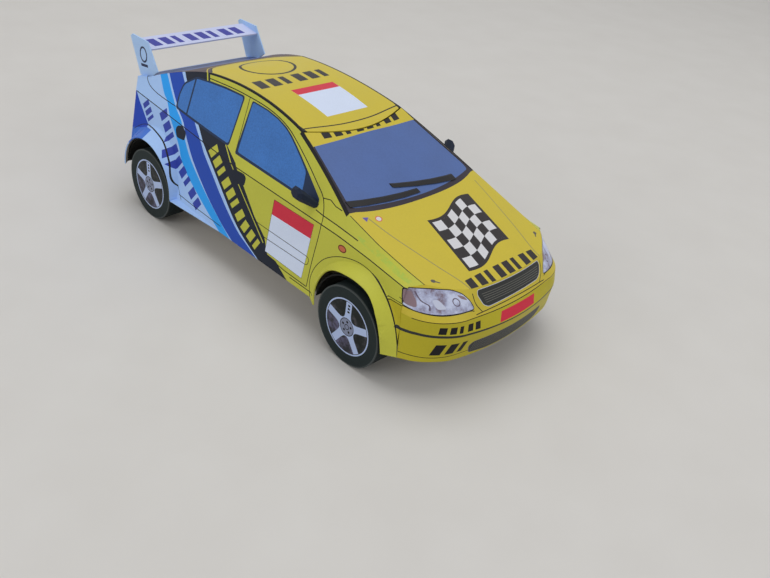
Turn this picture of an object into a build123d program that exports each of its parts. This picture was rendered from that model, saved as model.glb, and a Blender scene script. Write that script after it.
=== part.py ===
# Card model of a three-door rally car at 1:24, cut from printed card, folded and glued.
# +X is forward, +Y is the car's left, +Z is up. The origin is on the ground under the
# middle of the model. Sizes are in millimetres.
import os
from math import cos, radians, sin

from build123d import *

os.makedirs("parts", exist_ok=True)

# Card
card = 0.4                 # thickness of the printed card
skin = 0.45                # the same card measured level, across the car

# Wheels and axles
wheelbase = 108.6
front_axle_x = 52.65
rear_axle_x = front_axle_x - wheelbase
axle_z = 13.0              # height of the axles, which is also the radius of the wheels
tyre_r = axle_z
tyre_w = 8.5
wheel_face_y = 36.5        # outer face of each wheel
wide = 2 * wheel_face_y    # well outside the model, for the blocks that trim the pieces
stick_r = 1.2              # round wooden stick used as an axle
running_gap = 0.05         # between the stick and its tube, all round
tube_wall = 0.75           # several turns of rolled card
hub_r = 3.2                # card hub glued round the stick inside each wheel
tube_r = stick_r + running_gap + tube_wall

# Heights
foot_z = 12.5              # lower edge of the sides and the nose
tail_foot_z = 14.6         # lower edge of the tail, behind the rear wheels
floor_z = axle_z + tube_r  # underside of the floor, which lies on the axle tubes
# The cabin sides lie in one plane each: half width at the ground line under the origin,
# how much it narrows for each millimetre forward, and for each millimetre up
cabin_foot_y = 49.46
cabin_taper = 0.00278
cabin_lean = 0.5132

# Side panels, from tail to scuttle: x, foot y, crease z
side_stations = (
    (-80.0, 33.8, 41.1),
    (-45.4, 34.6, 38.9),
    (-12.0, 35.0, 36.8),
    (40.3, 34.9, 35.8),
)
# Wings and bonnet, from scuttle to nose: x, foot y, crease y, crease z, seam y, seam z, crown z
front_stations = (
    (40.3, 34.9, 31.0, 35.8, 27.7, 42.2, 43.6),
    (53.4, 34.7, 30.9, 34.6, 27.7, 38.4, 40.2),
    (65.4, 34.3, 30.8, 33.0, 27.0, 35.4, 37.0),
    (88.0, 33.6, 30.3, 30.0, 24.8, 30.0, 30.6),
)
scuttle_x = front_stations[0][0]
panel_lean = 10.3          # degrees that the side panel leans in below its crease

# Edge of the cabin in side view, as x and z
pillar_foot = (40.3, 42.2)
pillar_mid = (26.6, 48.6)
header = (9.9, 55.2)
roof_front = (17.0, 53.51)  # the roof's arc runs on this far in the middle of the header
roof_mid = (-12.4, 58.2)
roof_rear = (-40.6, 57.2)
cabin_top_z = roof_mid[1] + 1.8
rear_glass_mid = (-56.0, 53.0)
rear_glass_foot = (-71.4, 46.8)
tail_top = (-78.0, 45.2)
tail_fold = (-75.8, 40.6)
tail_foot = (-75.6, tail_foot_z)
nose_joint = ((68.2, 29.0), (68.4, 25.7), (69.4, 21.5), (71.3, foot_z))

screen_reach = 9.0         # the foot of the windscreen lies up to this far ahead of the scuttle

# Windscreen, as level arcs: z, x at the pillars, half width, x in the middle
screen_levels = (
    (38.0, 49.6, 30.0, 56.4),
    (60.0, -1.2, 20.0, -0.34),
)
screen_foot_z = 40.8       # the foot of the windscreen, just inside the bonnet
screen_depth = 1.0         # thickness of the windscreen's card, measured level

# Card is bent over light creases: how many flats they make
corner_count = 5           # round each corner of the nose and the tail
middle_count = 3           # between those corners
screen_count = 8           # across the windscreen
arch_count = 14            # round each wheel arch

# Nose, as level outlines: z, joint x, joint y, corner x, corner y, turn x, turn y, middle x
chin_z = 10.5              # foot of the nose in the middle
chin_half = 27.0           # the foot curves down from here, on either side of the middle
nose_levels = (
    (chin_z, 71.72, 34.58, 77.6, 29.29, 80.71, 21.44, 82.37),
    (21.5, 69.4, 32.5, 77.6, 28.8, 83.4, 19.0, 85.85),
    (25.7, 68.4, 31.7, 77.0, 28.6, 82.4, 18.0, 83.3),
    (38.0, 66.7, 29.7, 70.5, 22.6, 76.0, 15.5, 78.2),
)
# Tail, as level outlines in the same order
tail_levels = (
    (tail_foot_z, -75.6, 33.5, -77.6, 29.8, -79.4, 22.0, -80.6),
    (24.0, -75.6, 31.7, -78.4, 29.0, -80.8, 21.0, -82.0),
    (34.0, -75.6, 29.9, -77.4, 27.6, -78.8, 20.0, -79.8),
    (41.0, -75.9, 28.7, -77.3, 26.3, -78.4, 19.0, -79.2),
    (48.0, -79.4, 25.0, -80.3, 22.5, -80.9, 16.0, -81.3),
)
# Share of the card's thickness by which its back lies inside its face, along and across the car
# at each corner, and across the car where the corner ends
corner_share = 0.7
turn_share = 0.3

# Wheel arches: how far the middle lies ahead of the axle, half width and height above the foot,
# of the edge and of the fold
arch_edge_y = 36.9
fold_y = 34.2              # foot of the plane in which the flares are folded
through = 2.0              # from there to well inside the side panel
clear_edge = 0.01          # the opening starts this far outside the edge of the arch
arch_leg = 0.5             # short upright legs at the foot of each arch
through_foot = 3.0         # the opening starts this far below the foot of the panel
arches = {
    "front": ((-0.2, 14.8, 16.4), (-0.85, 19.6, 19.5)),
    "rear": ((-1.45, 15.45, 17.5), (-2.45, 17.2, 20.5)),
}
axle_x = {"front": front_axle_x, "rear": rear_axle_x}
# Boxes that line the arches: how far the middle lies ahead of the axle, outside radius of the strip
boxes = {"front": (-0.2, 15.7), "rear": (-1.95, 15.9)}
box_inner_y = 22.0
box_outer_y = 35.2
tube_half = box_inner_y - 1.0
hub_end_y = box_inner_y + 0.6

# Rear wing
plate_y = 23.6             # inner face of each end plate
plate_card = 0.5
plate_outline = ((-80.2, 44.7), (-71.4, 46.8), (-68.1, 49.3), (-74.2, 58.6), (-84.6, 58.6), (-85.85, 57.6))
plane_outline = ((-73.0, 55.5), (-73.2, 56.0), (-83.0, 57.3), (-83.0, 56.8))

# Mirrors and wipers
# Upright sections of a mirror, from inside the door outwards: y, x, z, width, height, corner cut
mirror_sections = (
    (27.0, 27.6, 38.2, 2.8, 2.2, 0.6),
    (33.6, 23.9, 43.3, 4.6, 4.4, 1.3),
    (34.6, 23.7, 43.5, 3.0, 2.8, 0.9),
)
wiper_gap = 0.1            # between the wipers and the windscreen
wiper_t = 0.6
# Wiper blades seen from the front: y and z of the pivot and of the tip
wiper_blades = {"near": ((-26.0, 43.6), (-1.0, 43.6)), "far": ((16.5, 43.3), (-8.6, 45.2))}
wiper_w = 0.8


def cabin_y(x, z):
    """Half width of the cabin at a place on its side."""
    return cabin_foot_y - cabin_taper * x - cabin_lean * z


def half_section(station, inset, side):
    """Foot, crease and cabin top of one side at a station."""
    x, foot_y, crease_z = station
    return [
        (side * (foot_y - inset), foot_z),
        (side * (cabin_y(x, crease_z) - inset), crease_z),
        (side * (cabin_y(x, cabin_top_z) - inset), cabin_top_z),
    ]


def creased(start, middle, end, creases):
    """Points where card is creased to bend it along an arc."""
    with BuildLine():
        arc = ThreePointArc(start, middle, end)
    return [(point.X, point.Y) for point in (arc @ (i / creases) for i in range(creases + 1))]


# Space inside the body, between the two side panels
with BuildPart() as cabin_inside:
    for station in side_stations:
        with BuildSketch(Plane.YZ.offset(station[0])):
            Polygon(*half_section(station, skin, -1), *half_section(station, skin, 1)[::-1], align=None)
    loft(ruled=True)
    # The cabin runs on over the bonnet as far as the foot of the windscreen
    scuttle = side_stations[-1]
    with BuildSketch(Plane.YZ.offset(scuttle_x)):
        Polygon(*half_section(scuttle, skin, -1), *half_section(scuttle, skin, 1)[::-1], align=None)
    extrude(amount=screen_reach)


def front_solid(inset):
    """Front of the body as a solid, with every face moved in by inset."""
    with BuildPart() as front:
        for x, foot_y, crease_y, crease_z, seam_y, seam_z, crown_z in front_stations:
            right_seam = (-seam_y + inset / 2, seam_z - inset)
            left_seam = (seam_y - inset / 2, seam_z - inset)
            with BuildSketch(Plane.YZ.offset(x)):
                with BuildLine():
                    Polyline(
                        right_seam,
                        (-crease_y + inset, crease_z - inset / 2),
                        (-foot_y + inset, foot_z),
                        (foot_y - inset, foot_z),
                        (crease_y - inset, crease_z - inset / 2),
                        left_seam,
                    )
                    ThreePointArc(left_seam, (0, crown_z - inset), right_seam)
                make_face()
        loft(ruled=True)
    return front.part


front_outside = front_solid(0)
front_inside = front_solid(skin)


def level_solid(levels, inset, back_x):
    """Ruled solid through level outlines, open towards back_x."""
    with BuildPart() as solid:
        for z, joint_x, joint_y, corner_x, corner_y, turn_x, turn_y, middle_x in levels:
            ahead = inset if middle_x > joint_x else -inset
            joint_y = joint_y - inset
            corner = (corner_x - corner_share * ahead, corner_y - corner_share * inset)
            turn = (turn_x - ahead, turn_y - turn_share * inset)
            left = creased((joint_x, joint_y), corner, turn, corner_count)
            middle = creased(turn, (middle_x - ahead, 0), (turn[0], -turn[1]), middle_count)
            right = [(x, -y) for x, y in reversed(left)]
            with BuildSketch(Plane.XY.offset(z)):
                Polygon((back_x, joint_y), *left, *middle[1:-1], *right, (back_x, -joint_y), align=None)
        loft(ruled=True)
    return solid.part


nose_outside = level_solid(nose_levels, 0, front_axle_x)
nose_inside = level_solid(nose_levels, card, front_axle_x)
tail_outside = level_solid(tail_levels, 0, rear_axle_x)
tail_inside = level_solid(tail_levels, card, rear_axle_x)


def behind_screen(depth):
    """Everything behind the windscreen's outer face, moved back by depth."""
    with BuildPart() as solid:
        for z, pillar_x, half_w, middle_x in screen_levels:
            near = (pillar_x - depth, -half_w)
            far = (pillar_x - depth, half_w)
            front = creased(near, (middle_x - depth, 0), far, screen_count)
            with BuildSketch(Plane.XY.offset(z)):
                Polygon(*front, (rear_axle_x, half_w), (rear_axle_x, -half_w), align=None)
        loft(ruled=True)
    return solid.part


screen_front = behind_screen(0)
screen_back = behind_screen(screen_depth)


def arch_outline(end, outline, low, inset):
    """Wheel arch above the foot of the panel: creases along an arc, on two short legs."""
    ahead, half_w, height = outline
    middle_x = axle_x[end] + ahead
    near = (middle_x - half_w + inset, arch_leg)
    far = (middle_x + half_w - inset, arch_leg)
    over = creased(far, (middle_x, height - inset), near, arch_count)
    return [(near[0], low), (far[0], low), *over]


def flare(end, low, inset, reach):
    """Solid from the fold on the side panel out to the edge of the wheel arch."""
    edge, fold = arches[end]
    lean = radians(panel_lean)
    fold_plane = Plane((0, -fold_y + inset, foot_z), (1, 0, 0), (0, -cos(lean), sin(lean)))
    with BuildPart() as solid:
        with BuildSketch(fold_plane):
            Polygon(*arch_outline(end, fold, low, inset), align=None)
        with BuildSketch(Plane((0, -arch_edge_y - reach, foot_z), (1, 0, 0), (0, -1, 0))):
            Polygon(*arch_outline(end, edge, low, inset), align=None)
        loft(ruled=True)
        if inset:
            # The opening goes on through the side panel
            with BuildSketch(fold_plane):
                Polygon(*arch_outline(end, fold, low, inset), align=None)
            extrude(amount=-through)
    return solid.part


# Space ahead of the nose's upper part, which trims the wings and the bonnet
lip = nose_joint[0]
ahead_x = 2 * front_axle_x
with BuildPart() as ahead_of_nose:
    with BuildSketch(Plane.XY.offset(lip[1])):
        Polygon((lip[0], -wide), (ahead_x, -wide), (ahead_x, wide), (lip[0], wide), align=None)
    extrude(amount=nose_levels[-1][0] - lip[1])
    add(nose_outside, mode=Mode.SUBTRACT)

# Space above the front of the body, which trims the nose
with BuildPart() as over_nose:
    with BuildSketch(Plane.XY.offset(lip[1])):
        Polygon((front_axle_x, -wide), (ahead_x, -wide), (ahead_x, wide), (front_axle_x, wide), align=None)
    extrude(amount=nose_levels[-1][0] - lip[1])
    add(front_inside, mode=Mode.SUBTRACT)

# Right side: one folded card with the wing, the door, the cabin side and both arches.
with BuildPart() as side_right:
    for station in side_stations:
        with BuildSketch(Plane.YZ.offset(station[0])):
            Polygon(*half_section(station, 0, -1), *half_section(station, skin, -1)[::-1], align=None)
    loft(ruled=True)
    # The wing ahead of the scuttle folds over to the bonnet seam
    for x, foot_y, crease_y, crease_z, seam_y, seam_z, crown_z in front_stations:
        with BuildSketch(Plane.YZ.offset(x)):
            Polygon(
                (-foot_y, foot_z),
                (-crease_y, crease_z),
                (-seam_y, seam_z),
                (-seam_y + skin / 2, seam_z - skin),
                (-crease_y + skin, crease_z - skin / 2),
                (-foot_y + skin, foot_z),
                align=None,
            )
    loft(ruled=True)
    for end in arches:
        add(flare(end, 0, 0, 0))
        add(flare(end, -through_foot, card, clear_edge), mode=Mode.SUBTRACT)
    # Side view of the whole panel
    with BuildSketch(Plane.XZ):
        with BuildLine():
            Polyline(
                tail_top,
                tail_fold,
                tail_foot,
                (rear_axle_x, tail_foot_z),
                (rear_axle_x, foot_z),
                *nose_joint[::-1],
                (ahead_x, lip[1]),
                (ahead_x, pillar_foot[1]),
                pillar_foot,
            )
            ThreePointArc(pillar_foot, pillar_mid, header)
            ThreePointArc(header, roof_mid, roof_rear)
            ThreePointArc(roof_rear, rear_glass_mid, rear_glass_foot)
            Line(rear_glass_foot, tail_top)
        make_face()
    extrude(amount=wide, both=True, mode=Mode.INTERSECT)
    add(ahead_of_nose.part, mode=Mode.SUBTRACT)
side_right.part.label = "side_right"
export_step(side_right.part, "parts/side_right.step")

# Left side: the same panel, mirrored.
with BuildPart() as side_left:
    mirror(side_right.part, about=Plane.XZ)
side_left.part.label = "side_left"
export_step(side_left.part, "parts/side_left.step")

# Bonnet: a crowned card between the wing seams, from the windscreen to the top of the nose.
with BuildPart() as bonnet:
    for x, foot_y, crease_y, crease_z, seam_y, seam_z, crown_z in front_stations:
        with BuildSketch(Plane.YZ.offset(x)):
            with BuildLine():
                ThreePointArc((-seam_y, seam_z), (0, crown_z), (seam_y, seam_z))
                Line((seam_y, seam_z), (seam_y - skin / 2, seam_z - skin))
                ThreePointArc(
                    (seam_y - skin / 2, seam_z - skin),
                    (0, crown_z - skin),
                    (-seam_y + skin / 2, seam_z - skin),
                )
                Line((-seam_y + skin / 2, seam_z - skin), (-seam_y, seam_z))
            make_face()
    loft(ruled=True)
    add(ahead_of_nose.part, mode=Mode.SUBTRACT)
    add(screen_front, mode=Mode.SUBTRACT)
bonnet.part.label = "bonnet"
export_step(bonnet.part, "parts/bonnet.step")

# Nose: bumper, lamps and grille are printed on one card, bent round from wing to wing.
with BuildPart() as nose:
    add(nose_outside)
    add(nose_inside, mode=Mode.SUBTRACT)
    with BuildSketch(Plane.XZ):
        Polygon(
            *nose_joint,
            (nose_joint[-1][0], chin_z),
            (ahead_x, chin_z),
            (ahead_x, pillar_foot[1]),
            (lip[0], pillar_foot[1]),
            align=None,
        )
    extrude(amount=wide, both=True, mode=Mode.INTERSECT)
    # The foot of the bumper curves down to the chin
    with BuildSketch(Plane.YZ):
        with BuildLine():
            ThreePointArc((-chin_half, foot_z), (0, chin_z), (chin_half, foot_z))
            Polyline(
                (chin_half, foot_z),
                (wide, foot_z),
                (wide, pillar_foot[1]),
                (-wide, pillar_foot[1]),
                (-wide, foot_z),
                (-chin_half, foot_z),
            )
        make_face()
    extrude(amount=ahead_x, mode=Mode.INTERSECT)
    # Above the bumper it stays under the bonnet and between the wings
    add(over_nose.part, mode=Mode.SUBTRACT)
nose.part.label = "nose"
export_step(nose.part, "parts/nose.step")

# Roof: a card bent to the roof line, between the two sides.
with BuildPart() as roof:
    with BuildSketch(Plane.XZ):
        with BuildLine():
            ThreePointArc(roof_front, roof_mid, roof_rear)
            Line(roof_rear, (roof_rear[0], roof_rear[1] - card))
            ThreePointArc(
                (roof_rear[0], roof_rear[1] - card),
                (roof_mid[0], roof_mid[1] - card),
                (roof_front[0], roof_front[1] - card),
            )
            Line((roof_front[0], roof_front[1] - card), roof_front)
        make_face()
    extrude(amount=wide, both=True)
    add(cabin_inside.part, mode=Mode.INTERSECT)
    add(screen_front, mode=Mode.INTERSECT)
roof.part.label = "roof"
export_step(roof.part, "parts/roof.step")

# Windscreen: a card bent across the car, from the bonnet up to the underside of the roof.
with BuildPart() as windscreen:
    add(screen_front)
    add(screen_back, mode=Mode.SUBTRACT)
    with BuildSketch(Plane.XZ):
        with BuildLine():
            ThreePointArc(
                (roof_front[0], roof_front[1] - card),
                (roof_mid[0], roof_mid[1] - card),
                (roof_rear[0], roof_rear[1] - card),
            )
            Polyline(
                (roof_rear[0], roof_rear[1] - card),
                (roof_rear[0], screen_foot_z),
                (wide, screen_foot_z),
                (wide, roof_front[1] - card),
                (roof_front[0], roof_front[1] - card),
            )
        make_face()
    extrude(amount=wide, both=True, mode=Mode.INTERSECT)
    add(cabin_inside.part, mode=Mode.INTERSECT)
    add(front_outside, mode=Mode.SUBTRACT)
windscreen.part.label = "windscreen"
export_step(windscreen.part, "parts/windscreen.step")

# Rear window: the printed card between the roof and the tail.
with BuildPart() as rear_window:
    with BuildSketch(Plane.XZ):
        with BuildLine():
            ThreePointArc(roof_rear, rear_glass_mid, rear_glass_foot)
            Line(rear_glass_foot, (rear_glass_foot[0], rear_glass_foot[1] - card))
            ThreePointArc(
                (rear_glass_foot[0], rear_glass_foot[1] - card),
                (rear_glass_mid[0], rear_glass_mid[1] - card),
                (roof_rear[0], roof_rear[1] - card),
            )
            Line((roof_rear[0], roof_rear[1] - card), roof_rear)
        make_face()
    extrude(amount=wide, both=True)
    add(cabin_inside.part, mode=Mode.INTERSECT)
rear_window.part.label = "rear_window"
export_step(rear_window.part, "parts/rear_window.step")

# Tail: the narrow shelf under the wing, and the tailgate and bumper bent round below it.
beyond = (2 * tail_top[0] - rear_glass_foot[0], 2 * tail_top[1] - rear_glass_foot[1])
with BuildPart() as shelf:
    with BuildSketch(Plane.XZ):
        Polygon(
            rear_glass_foot,
            beyond,
            (beyond[0], beyond[1] - card),
            (rear_glass_foot[0], rear_glass_foot[1] - card),
            align=None,
        )
    extrude(amount=wide, both=True)
    add(cabin_inside.part, mode=Mode.INTERSECT)
    add(tail_outside, mode=Mode.INTERSECT)
shelf.part.label = "shelf"
export_step(shelf.part, "parts/shelf.step")

with BuildPart() as tail:
    add(tail_outside)
    add(tail_inside, mode=Mode.SUBTRACT)
    with BuildSketch(Plane.XZ):
        Polygon(
            tail_foot,
            tail_fold,
            (tail_top[0], tail_top[1] - card),
            (beyond[0], beyond[1] - card),
            (2 * rear_axle_x, beyond[1] - card),
            (2 * rear_axle_x, tail_foot_z),
            align=None,
        )
    extrude(amount=wide, both=True, mode=Mode.INTERSECT)
tail.part.label = "tail"
export_step(tail.part, "parts/tail.step")

# Floor: a flat card between the sides, cut out for the four arch boxes.
with BuildPart() as body_inside:
    add(cabin_inside.part)
    add(front_inside)
floor_rear_x = tail_foot[0] + 2 * card
floor_front_x = nose_joint[-1][0] - 3 * card
with BuildPart() as floor:
    with BuildSketch(Plane.XY.offset(floor_z)):
        Polygon(
            (floor_rear_x, -wide),
            (floor_front_x, -wide),
            (floor_front_x, wide),
            (floor_rear_x, wide),
            align=None,
        )
    extrude(amount=card)
    add(body_inside.part, mode=Mode.INTERSECT)
    with BuildSketch(Plane.XY.offset(floor_z)):
        for end, (ahead, box_r) in boxes.items():
            box_x = axle_x[end] + ahead
            with Locations((box_x, -box_inner_y - wide / 2), (box_x, box_inner_y + wide / 2)):
                Rectangle(2 * box_r, wide)
    extrude(amount=card, mode=Mode.SUBTRACT)
    add(side_right.part, mode=Mode.SUBTRACT)
    add(side_left.part, mode=Mode.SUBTRACT)
floor.part.label = "floor"
export_step(floor.part, "parts/floor.step")

# Arch boxes: a black strip bent over each wheel, closed by a flat card on its inner side.
box_foot_z = floor_z - foot_z
for end, (ahead, box_r) in boxes.items():
    box_x = axle_x[end] + ahead
    for hand, side in (("right", -1), ("left", 1)):
        with BuildPart() as arch_box:
            bends = ((box_r, box_inner_y, Mode.ADD), (box_r - card, box_inner_y + card, Mode.SUBTRACT))
            for r, y0, mode in bends:
                front_foot = (-side * (box_x + r), box_foot_z)
                rear_foot = (-side * (box_x - r), box_foot_z)
                over = creased(front_foot, (-side * box_x, r + arch_leg), rear_foot, arch_count)
                with BuildSketch(Plane((0, side * y0, foot_z), (-side, 0, 0), (0, side, 0))):
                    Polygon(*over, align=None)
                extrude(amount=box_outer_y - y0, mode=mode)
        arch_box.part.label = f"arch_box_{end}_{hand}"
        export_step(arch_box.part, f"parts/arch_box_{end}_{hand}.step")

# Axles: a wooden stick turning in a rolled card tube glued under the floor.
stick_end = wheel_face_y - card
for end, x in axle_x.items():
    with BuildPart() as axle:
        with BuildSketch(Plane((x, -stick_end, axle_z), (1, 0, 0), (0, 1, 0))):
            Circle(stick_r)
        extrude(amount=2 * stick_end)
    axle.part.label = f"axle_{end}"
    export_step(axle.part, f"parts/axle_{end}.step")
    with BuildPart() as tube:
        with BuildSketch(Plane((x, -tube_half, axle_z), (1, 0, 0), (0, 1, 0))):
            Circle(tube_r)
            Circle(stick_r + running_gap, mode=Mode.SUBTRACT)
        extrude(amount=2 * tube_half)
    tube.part.label = f"axle_tube_{end}"
    export_step(tube.part, f"parts/axle_tube_{end}.step")

# Wheels: a printed face disc on a drum of stacked card discs, with a rolled hub inside.
drum_end_y = wheel_face_y - tyre_w
for end, x in axle_x.items():
    for hand, side in (("right", -1), ("left", 1)):
        with BuildPart() as drum:
            for r, y0, y1 in ((tyre_r, drum_end_y, wheel_face_y - card), (hub_r, hub_end_y, drum_end_y)):
                with BuildSketch(Plane((x, side * y0, axle_z), (1, 0, 0), (0, side, 0))):
                    Circle(r)
                    Circle(stick_r, mode=Mode.SUBTRACT)
                extrude(amount=y1 - y0)
        drum.part.label = f"wheel_drum_{end}_{hand}"
        export_step(drum.part, f"parts/wheel_drum_{end}_{hand}.step")
        with BuildPart() as face:
            with BuildSketch(Plane((x, side * (wheel_face_y - card), axle_z), (1, 0, 0), (0, side, 0))):
                Circle(tyre_r)
            extrude(amount=card)
        face.part.label = f"wheel_face_{end}_{hand}"
        export_step(face.part, f"parts/wheel_face_{end}_{hand}.step")

# Rear wing: two end plates on the shelf, and a folded plane between them.
for hand, start in (("right", plate_y), ("left", -plate_y - plate_card)):
    with BuildPart() as plate:
        with BuildSketch(Plane.XZ.offset(start)):
            Polygon(*plate_outline, align=None)
        extrude(amount=plate_card)
        add(rear_window.part, mode=Mode.SUBTRACT)
    plate.part.label = f"wing_plate_{hand}"
    export_step(plate.part, f"parts/wing_plate_{hand}.step")

with BuildPart() as plane:
    with BuildSketch(Plane.XZ):
        Polygon(*plane_outline, align=None)
    extrude(amount=plate_y, both=True)
plane.part.label = "wing_plane"
export_step(plane.part, "parts/wing_plane.step")

# Mirrors: small folded boxes of black card on the doors, which widen from their foot.
for hand, side, panel in (("right", -1, side_right), ("left", 1, side_left)):
    with BuildPart() as pod:
        for y, x, z, w, h, cut in mirror_sections:
            with BuildSketch(Plane((x, side * y, z), (1, 0, 0), (0, -1, 0))) as section:
                Rectangle(w, h)
                chamfer(section.vertices(), cut)
        loft(ruled=True)
        add(cabin_inside.part, mode=Mode.SUBTRACT)
        add(panel.part, mode=Mode.SUBTRACT)
    pod.part.label = f"mirror_{hand}"
    export_step(pod.part, f"parts/mirror_{hand}.step")

# Wipers: thin black card strips lying on the windscreen.
wiper_low = behind_screen(-wiper_gap)
wiper_high = behind_screen(-wiper_gap - wiper_t)
for hand, (pivot, tip) in wiper_blades.items():
    with BuildPart() as wiper:
        with BuildSketch(Plane.YZ.offset(roof_front[0])):
            Polygon(
                (pivot[0], pivot[1] - wiper_w / 2),
                (pivot[0], pivot[1] + wiper_w / 2),
                (tip[0], tip[1] + wiper_w / 3),
                (tip[0], tip[1] - wiper_w / 3),
                align=None,
            )
        extrude(amount=front_axle_x - roof_front[0])
        add(wiper_high, mode=Mode.INTERSECT)
        add(wiper_low, mode=Mode.SUBTRACT)
        add(bonnet.part, mode=Mode.SUBTRACT)
    wiper.part.label = f"wiper_{hand}"
    export_step(wiper.part, f"parts/wiper_{hand}.step")
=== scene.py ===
from math import asin, atan2, cos, hypot, pi, radians, sin, sqrt, tan

import bpy
import numpy as np
from mathutils import Matrix, Vector
from mathutils.geometry import delaunay_2d_cdt


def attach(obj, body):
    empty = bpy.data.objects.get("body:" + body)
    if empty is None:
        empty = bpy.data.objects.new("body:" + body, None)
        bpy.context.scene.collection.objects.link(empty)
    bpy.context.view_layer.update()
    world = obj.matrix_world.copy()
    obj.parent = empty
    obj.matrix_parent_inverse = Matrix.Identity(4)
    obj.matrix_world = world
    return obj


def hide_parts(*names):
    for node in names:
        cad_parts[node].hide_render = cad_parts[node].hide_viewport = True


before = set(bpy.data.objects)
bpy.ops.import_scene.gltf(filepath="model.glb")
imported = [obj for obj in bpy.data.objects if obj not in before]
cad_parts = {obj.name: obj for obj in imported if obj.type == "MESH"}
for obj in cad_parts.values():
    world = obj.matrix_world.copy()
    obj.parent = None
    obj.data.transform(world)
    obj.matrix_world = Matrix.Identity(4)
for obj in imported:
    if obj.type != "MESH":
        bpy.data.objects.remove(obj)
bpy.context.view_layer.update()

MM = 0.001

# Studio: the model stands on a sheet of pale board, seen from its right front corner and above,
# as in the photograph. A broad soft lamp hangs over it, with weaker ones ahead of it and beside it.
camera_place = (189.91, -174.41, 154.42)
camera_side, camera_height, camera_roll = radians(47.999), radians(33.076), radians(7.264)
level = cos(camera_height)
back = Vector((cos(camera_side) * level, -sin(camera_side) * level, sin(camera_height)))
level_right = (-back).cross(Vector((0, 0, 1))).normalized()
level_up = level_right.cross(-back)
right = cos(camera_roll) * level_right + sin(camera_roll) * level_up
up = cos(camera_roll) * level_up - sin(camera_roll) * level_right
camera_data = bpy.data.cameras.new("camera")
camera_data.lens = 38.356
camera_data.sensor_width = 36.0
camera_data.clip_start = 0.005
turned = Matrix((right, up, back)).transposed().to_4x4()


def placed(name, data):
    """A new object in the scene."""
    made = bpy.data.objects.new(name, data)
    bpy.context.collection.objects.link(made)
    return made


camera = placed("camera", camera_data)
camera.matrix_world = Matrix.Translation(Vector(camera_place) * MM) @ turned
bpy.context.scene.camera = camera
bpy.context.scene.view_settings.view_transform = "Standard"


def node(tree, kind, values=(), **settings):
    """Adds a node. Its values are numbers or other nodes' outputs, by the name or place of the input."""
    made = tree.nodes.new(kind)
    for key, value in settings.items():
        setattr(made, key, value)
    for key, value in dict(values).items():
        if isinstance(value, bpy.types.NodeSocket):
            tree.links.new(value, made.inputs[key])
        else:
            made.inputs[key].default_value = value
    return made


def reckon(tree, operation, first, second):
    """The result of a node that works on two numbers."""
    return node(tree, "ShaderNodeMath", {0: first, 1: second}, operation=operation).outputs[0]


def empty_material(name):
    """A material with an output node and nothing else."""
    material = bpy.data.materials.new(name)
    material.use_nodes = True
    material.node_tree.nodes.clear()
    return material, material.node_tree


board, tree = empty_material("pale_board")
coords = node(tree, "ShaderNodeTexCoord")
flecks = node(tree, "ShaderNodeTexNoise", {"Vector": coords.outputs["Object"], "Scale": 40.0, "Detail": 6.0})
tone = node(tree, "ShaderNodeValToRGB", {"Fac": flecks.outputs["Fac"]})
tone.color_ramp.elements[0].color = (0.70, 0.68, 0.65, 1)
tone.color_ramp.elements[1].color = (0.76, 0.745, 0.72, 1)
grit = node(tree, "ShaderNodeBump", {"Height": flecks.outputs["Fac"], "Strength": 0.1, "Distance": 0.001})
finish = node(tree, "ShaderNodeBsdfPrincipled", {
    "Base Color": tone.outputs["Color"], "Roughness": 0.85, "Normal": grit.outputs["Normal"]})
node(tree, "ShaderNodeOutputMaterial", {"Surface": finish.outputs["BSDF"]})
edge = 3.0
floor_mesh = bpy.data.meshes.new("studio_floor")
floor_mesh.from_pydata(
    [(-edge, -edge, 0), (edge, -edge, 0), (edge, edge, 0), (-edge, edge, 0)], [], [(0, 1, 2, 3)])
floor_mesh.materials.append(board)
placed("studio_floor", floor_mesh)

aim = Vector((0, 0, 0.02))
for name, place, size, watts in (
    ("lamp_above", (-0.10, 0.10, 0.90), 0.9, 3.3),
    ("lamp_ahead", (0.80, 0.15, 0.50), 0.6, 1.3),
    ("lamp_beside", (-0.15, -0.90, 0.45), 0.7, 1.9),
):
    lamp_data = bpy.data.lights.new(name, "AREA")
    lamp_data.shape = "DISK"
    lamp_data.size = size
    lamp_data.energy = watts
    lamp = placed(name, lamp_data)
    lamp.location = place
    lamp.rotation_euler = (aim - Vector(place)).to_track_quat("-Z", "Y").to_euler()
world = bpy.data.worlds.new("studio")
bpy.context.scene.world = world
world.use_nodes = True
tree = world.node_tree
tree.nodes.clear()
path = node(tree, "ShaderNodeLightPath")
seen = reckon(tree, "MAXIMUM", path.outputs["Is Camera Ray"], path.outputs["Is Glossy Ray"])
strength = node(tree, "ShaderNodeMapRange", {"Value": seen, "To Min": 0.34, "To Max": 0.85})
air = node(tree, "ShaderNodeBackground", {
    "Color": (1.0, 1.0, 1.0, 1), "Strength": strength.outputs["Result"]})
node(tree, "ShaderNodeOutputWorld", {"Surface": air.outputs["Background"]})

# Sides: one printed card each, folded along the shoulder and over to the bonnet, with the
# wheel arches raised from it. Windows, seams and stripes are ink, on a yellow with painted shade. The edges
# are the bare card.
card = 0.4        # its thickness, in millimetres, as every length of the model
foot_z = 12.5     # height of the lower edge of the sides
cabin_foot_y, cabin_taper, cabin_lean = 49.46, 0.00278, 0.5132
# from tail to scuttle: x, foot y, crease z
side_stations = ((-80.0, 33.8, 41.1), (-45.4, 34.6, 38.9), (-12.0, 35.0, 36.8), (40.3, 34.9, 35.8))
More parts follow.
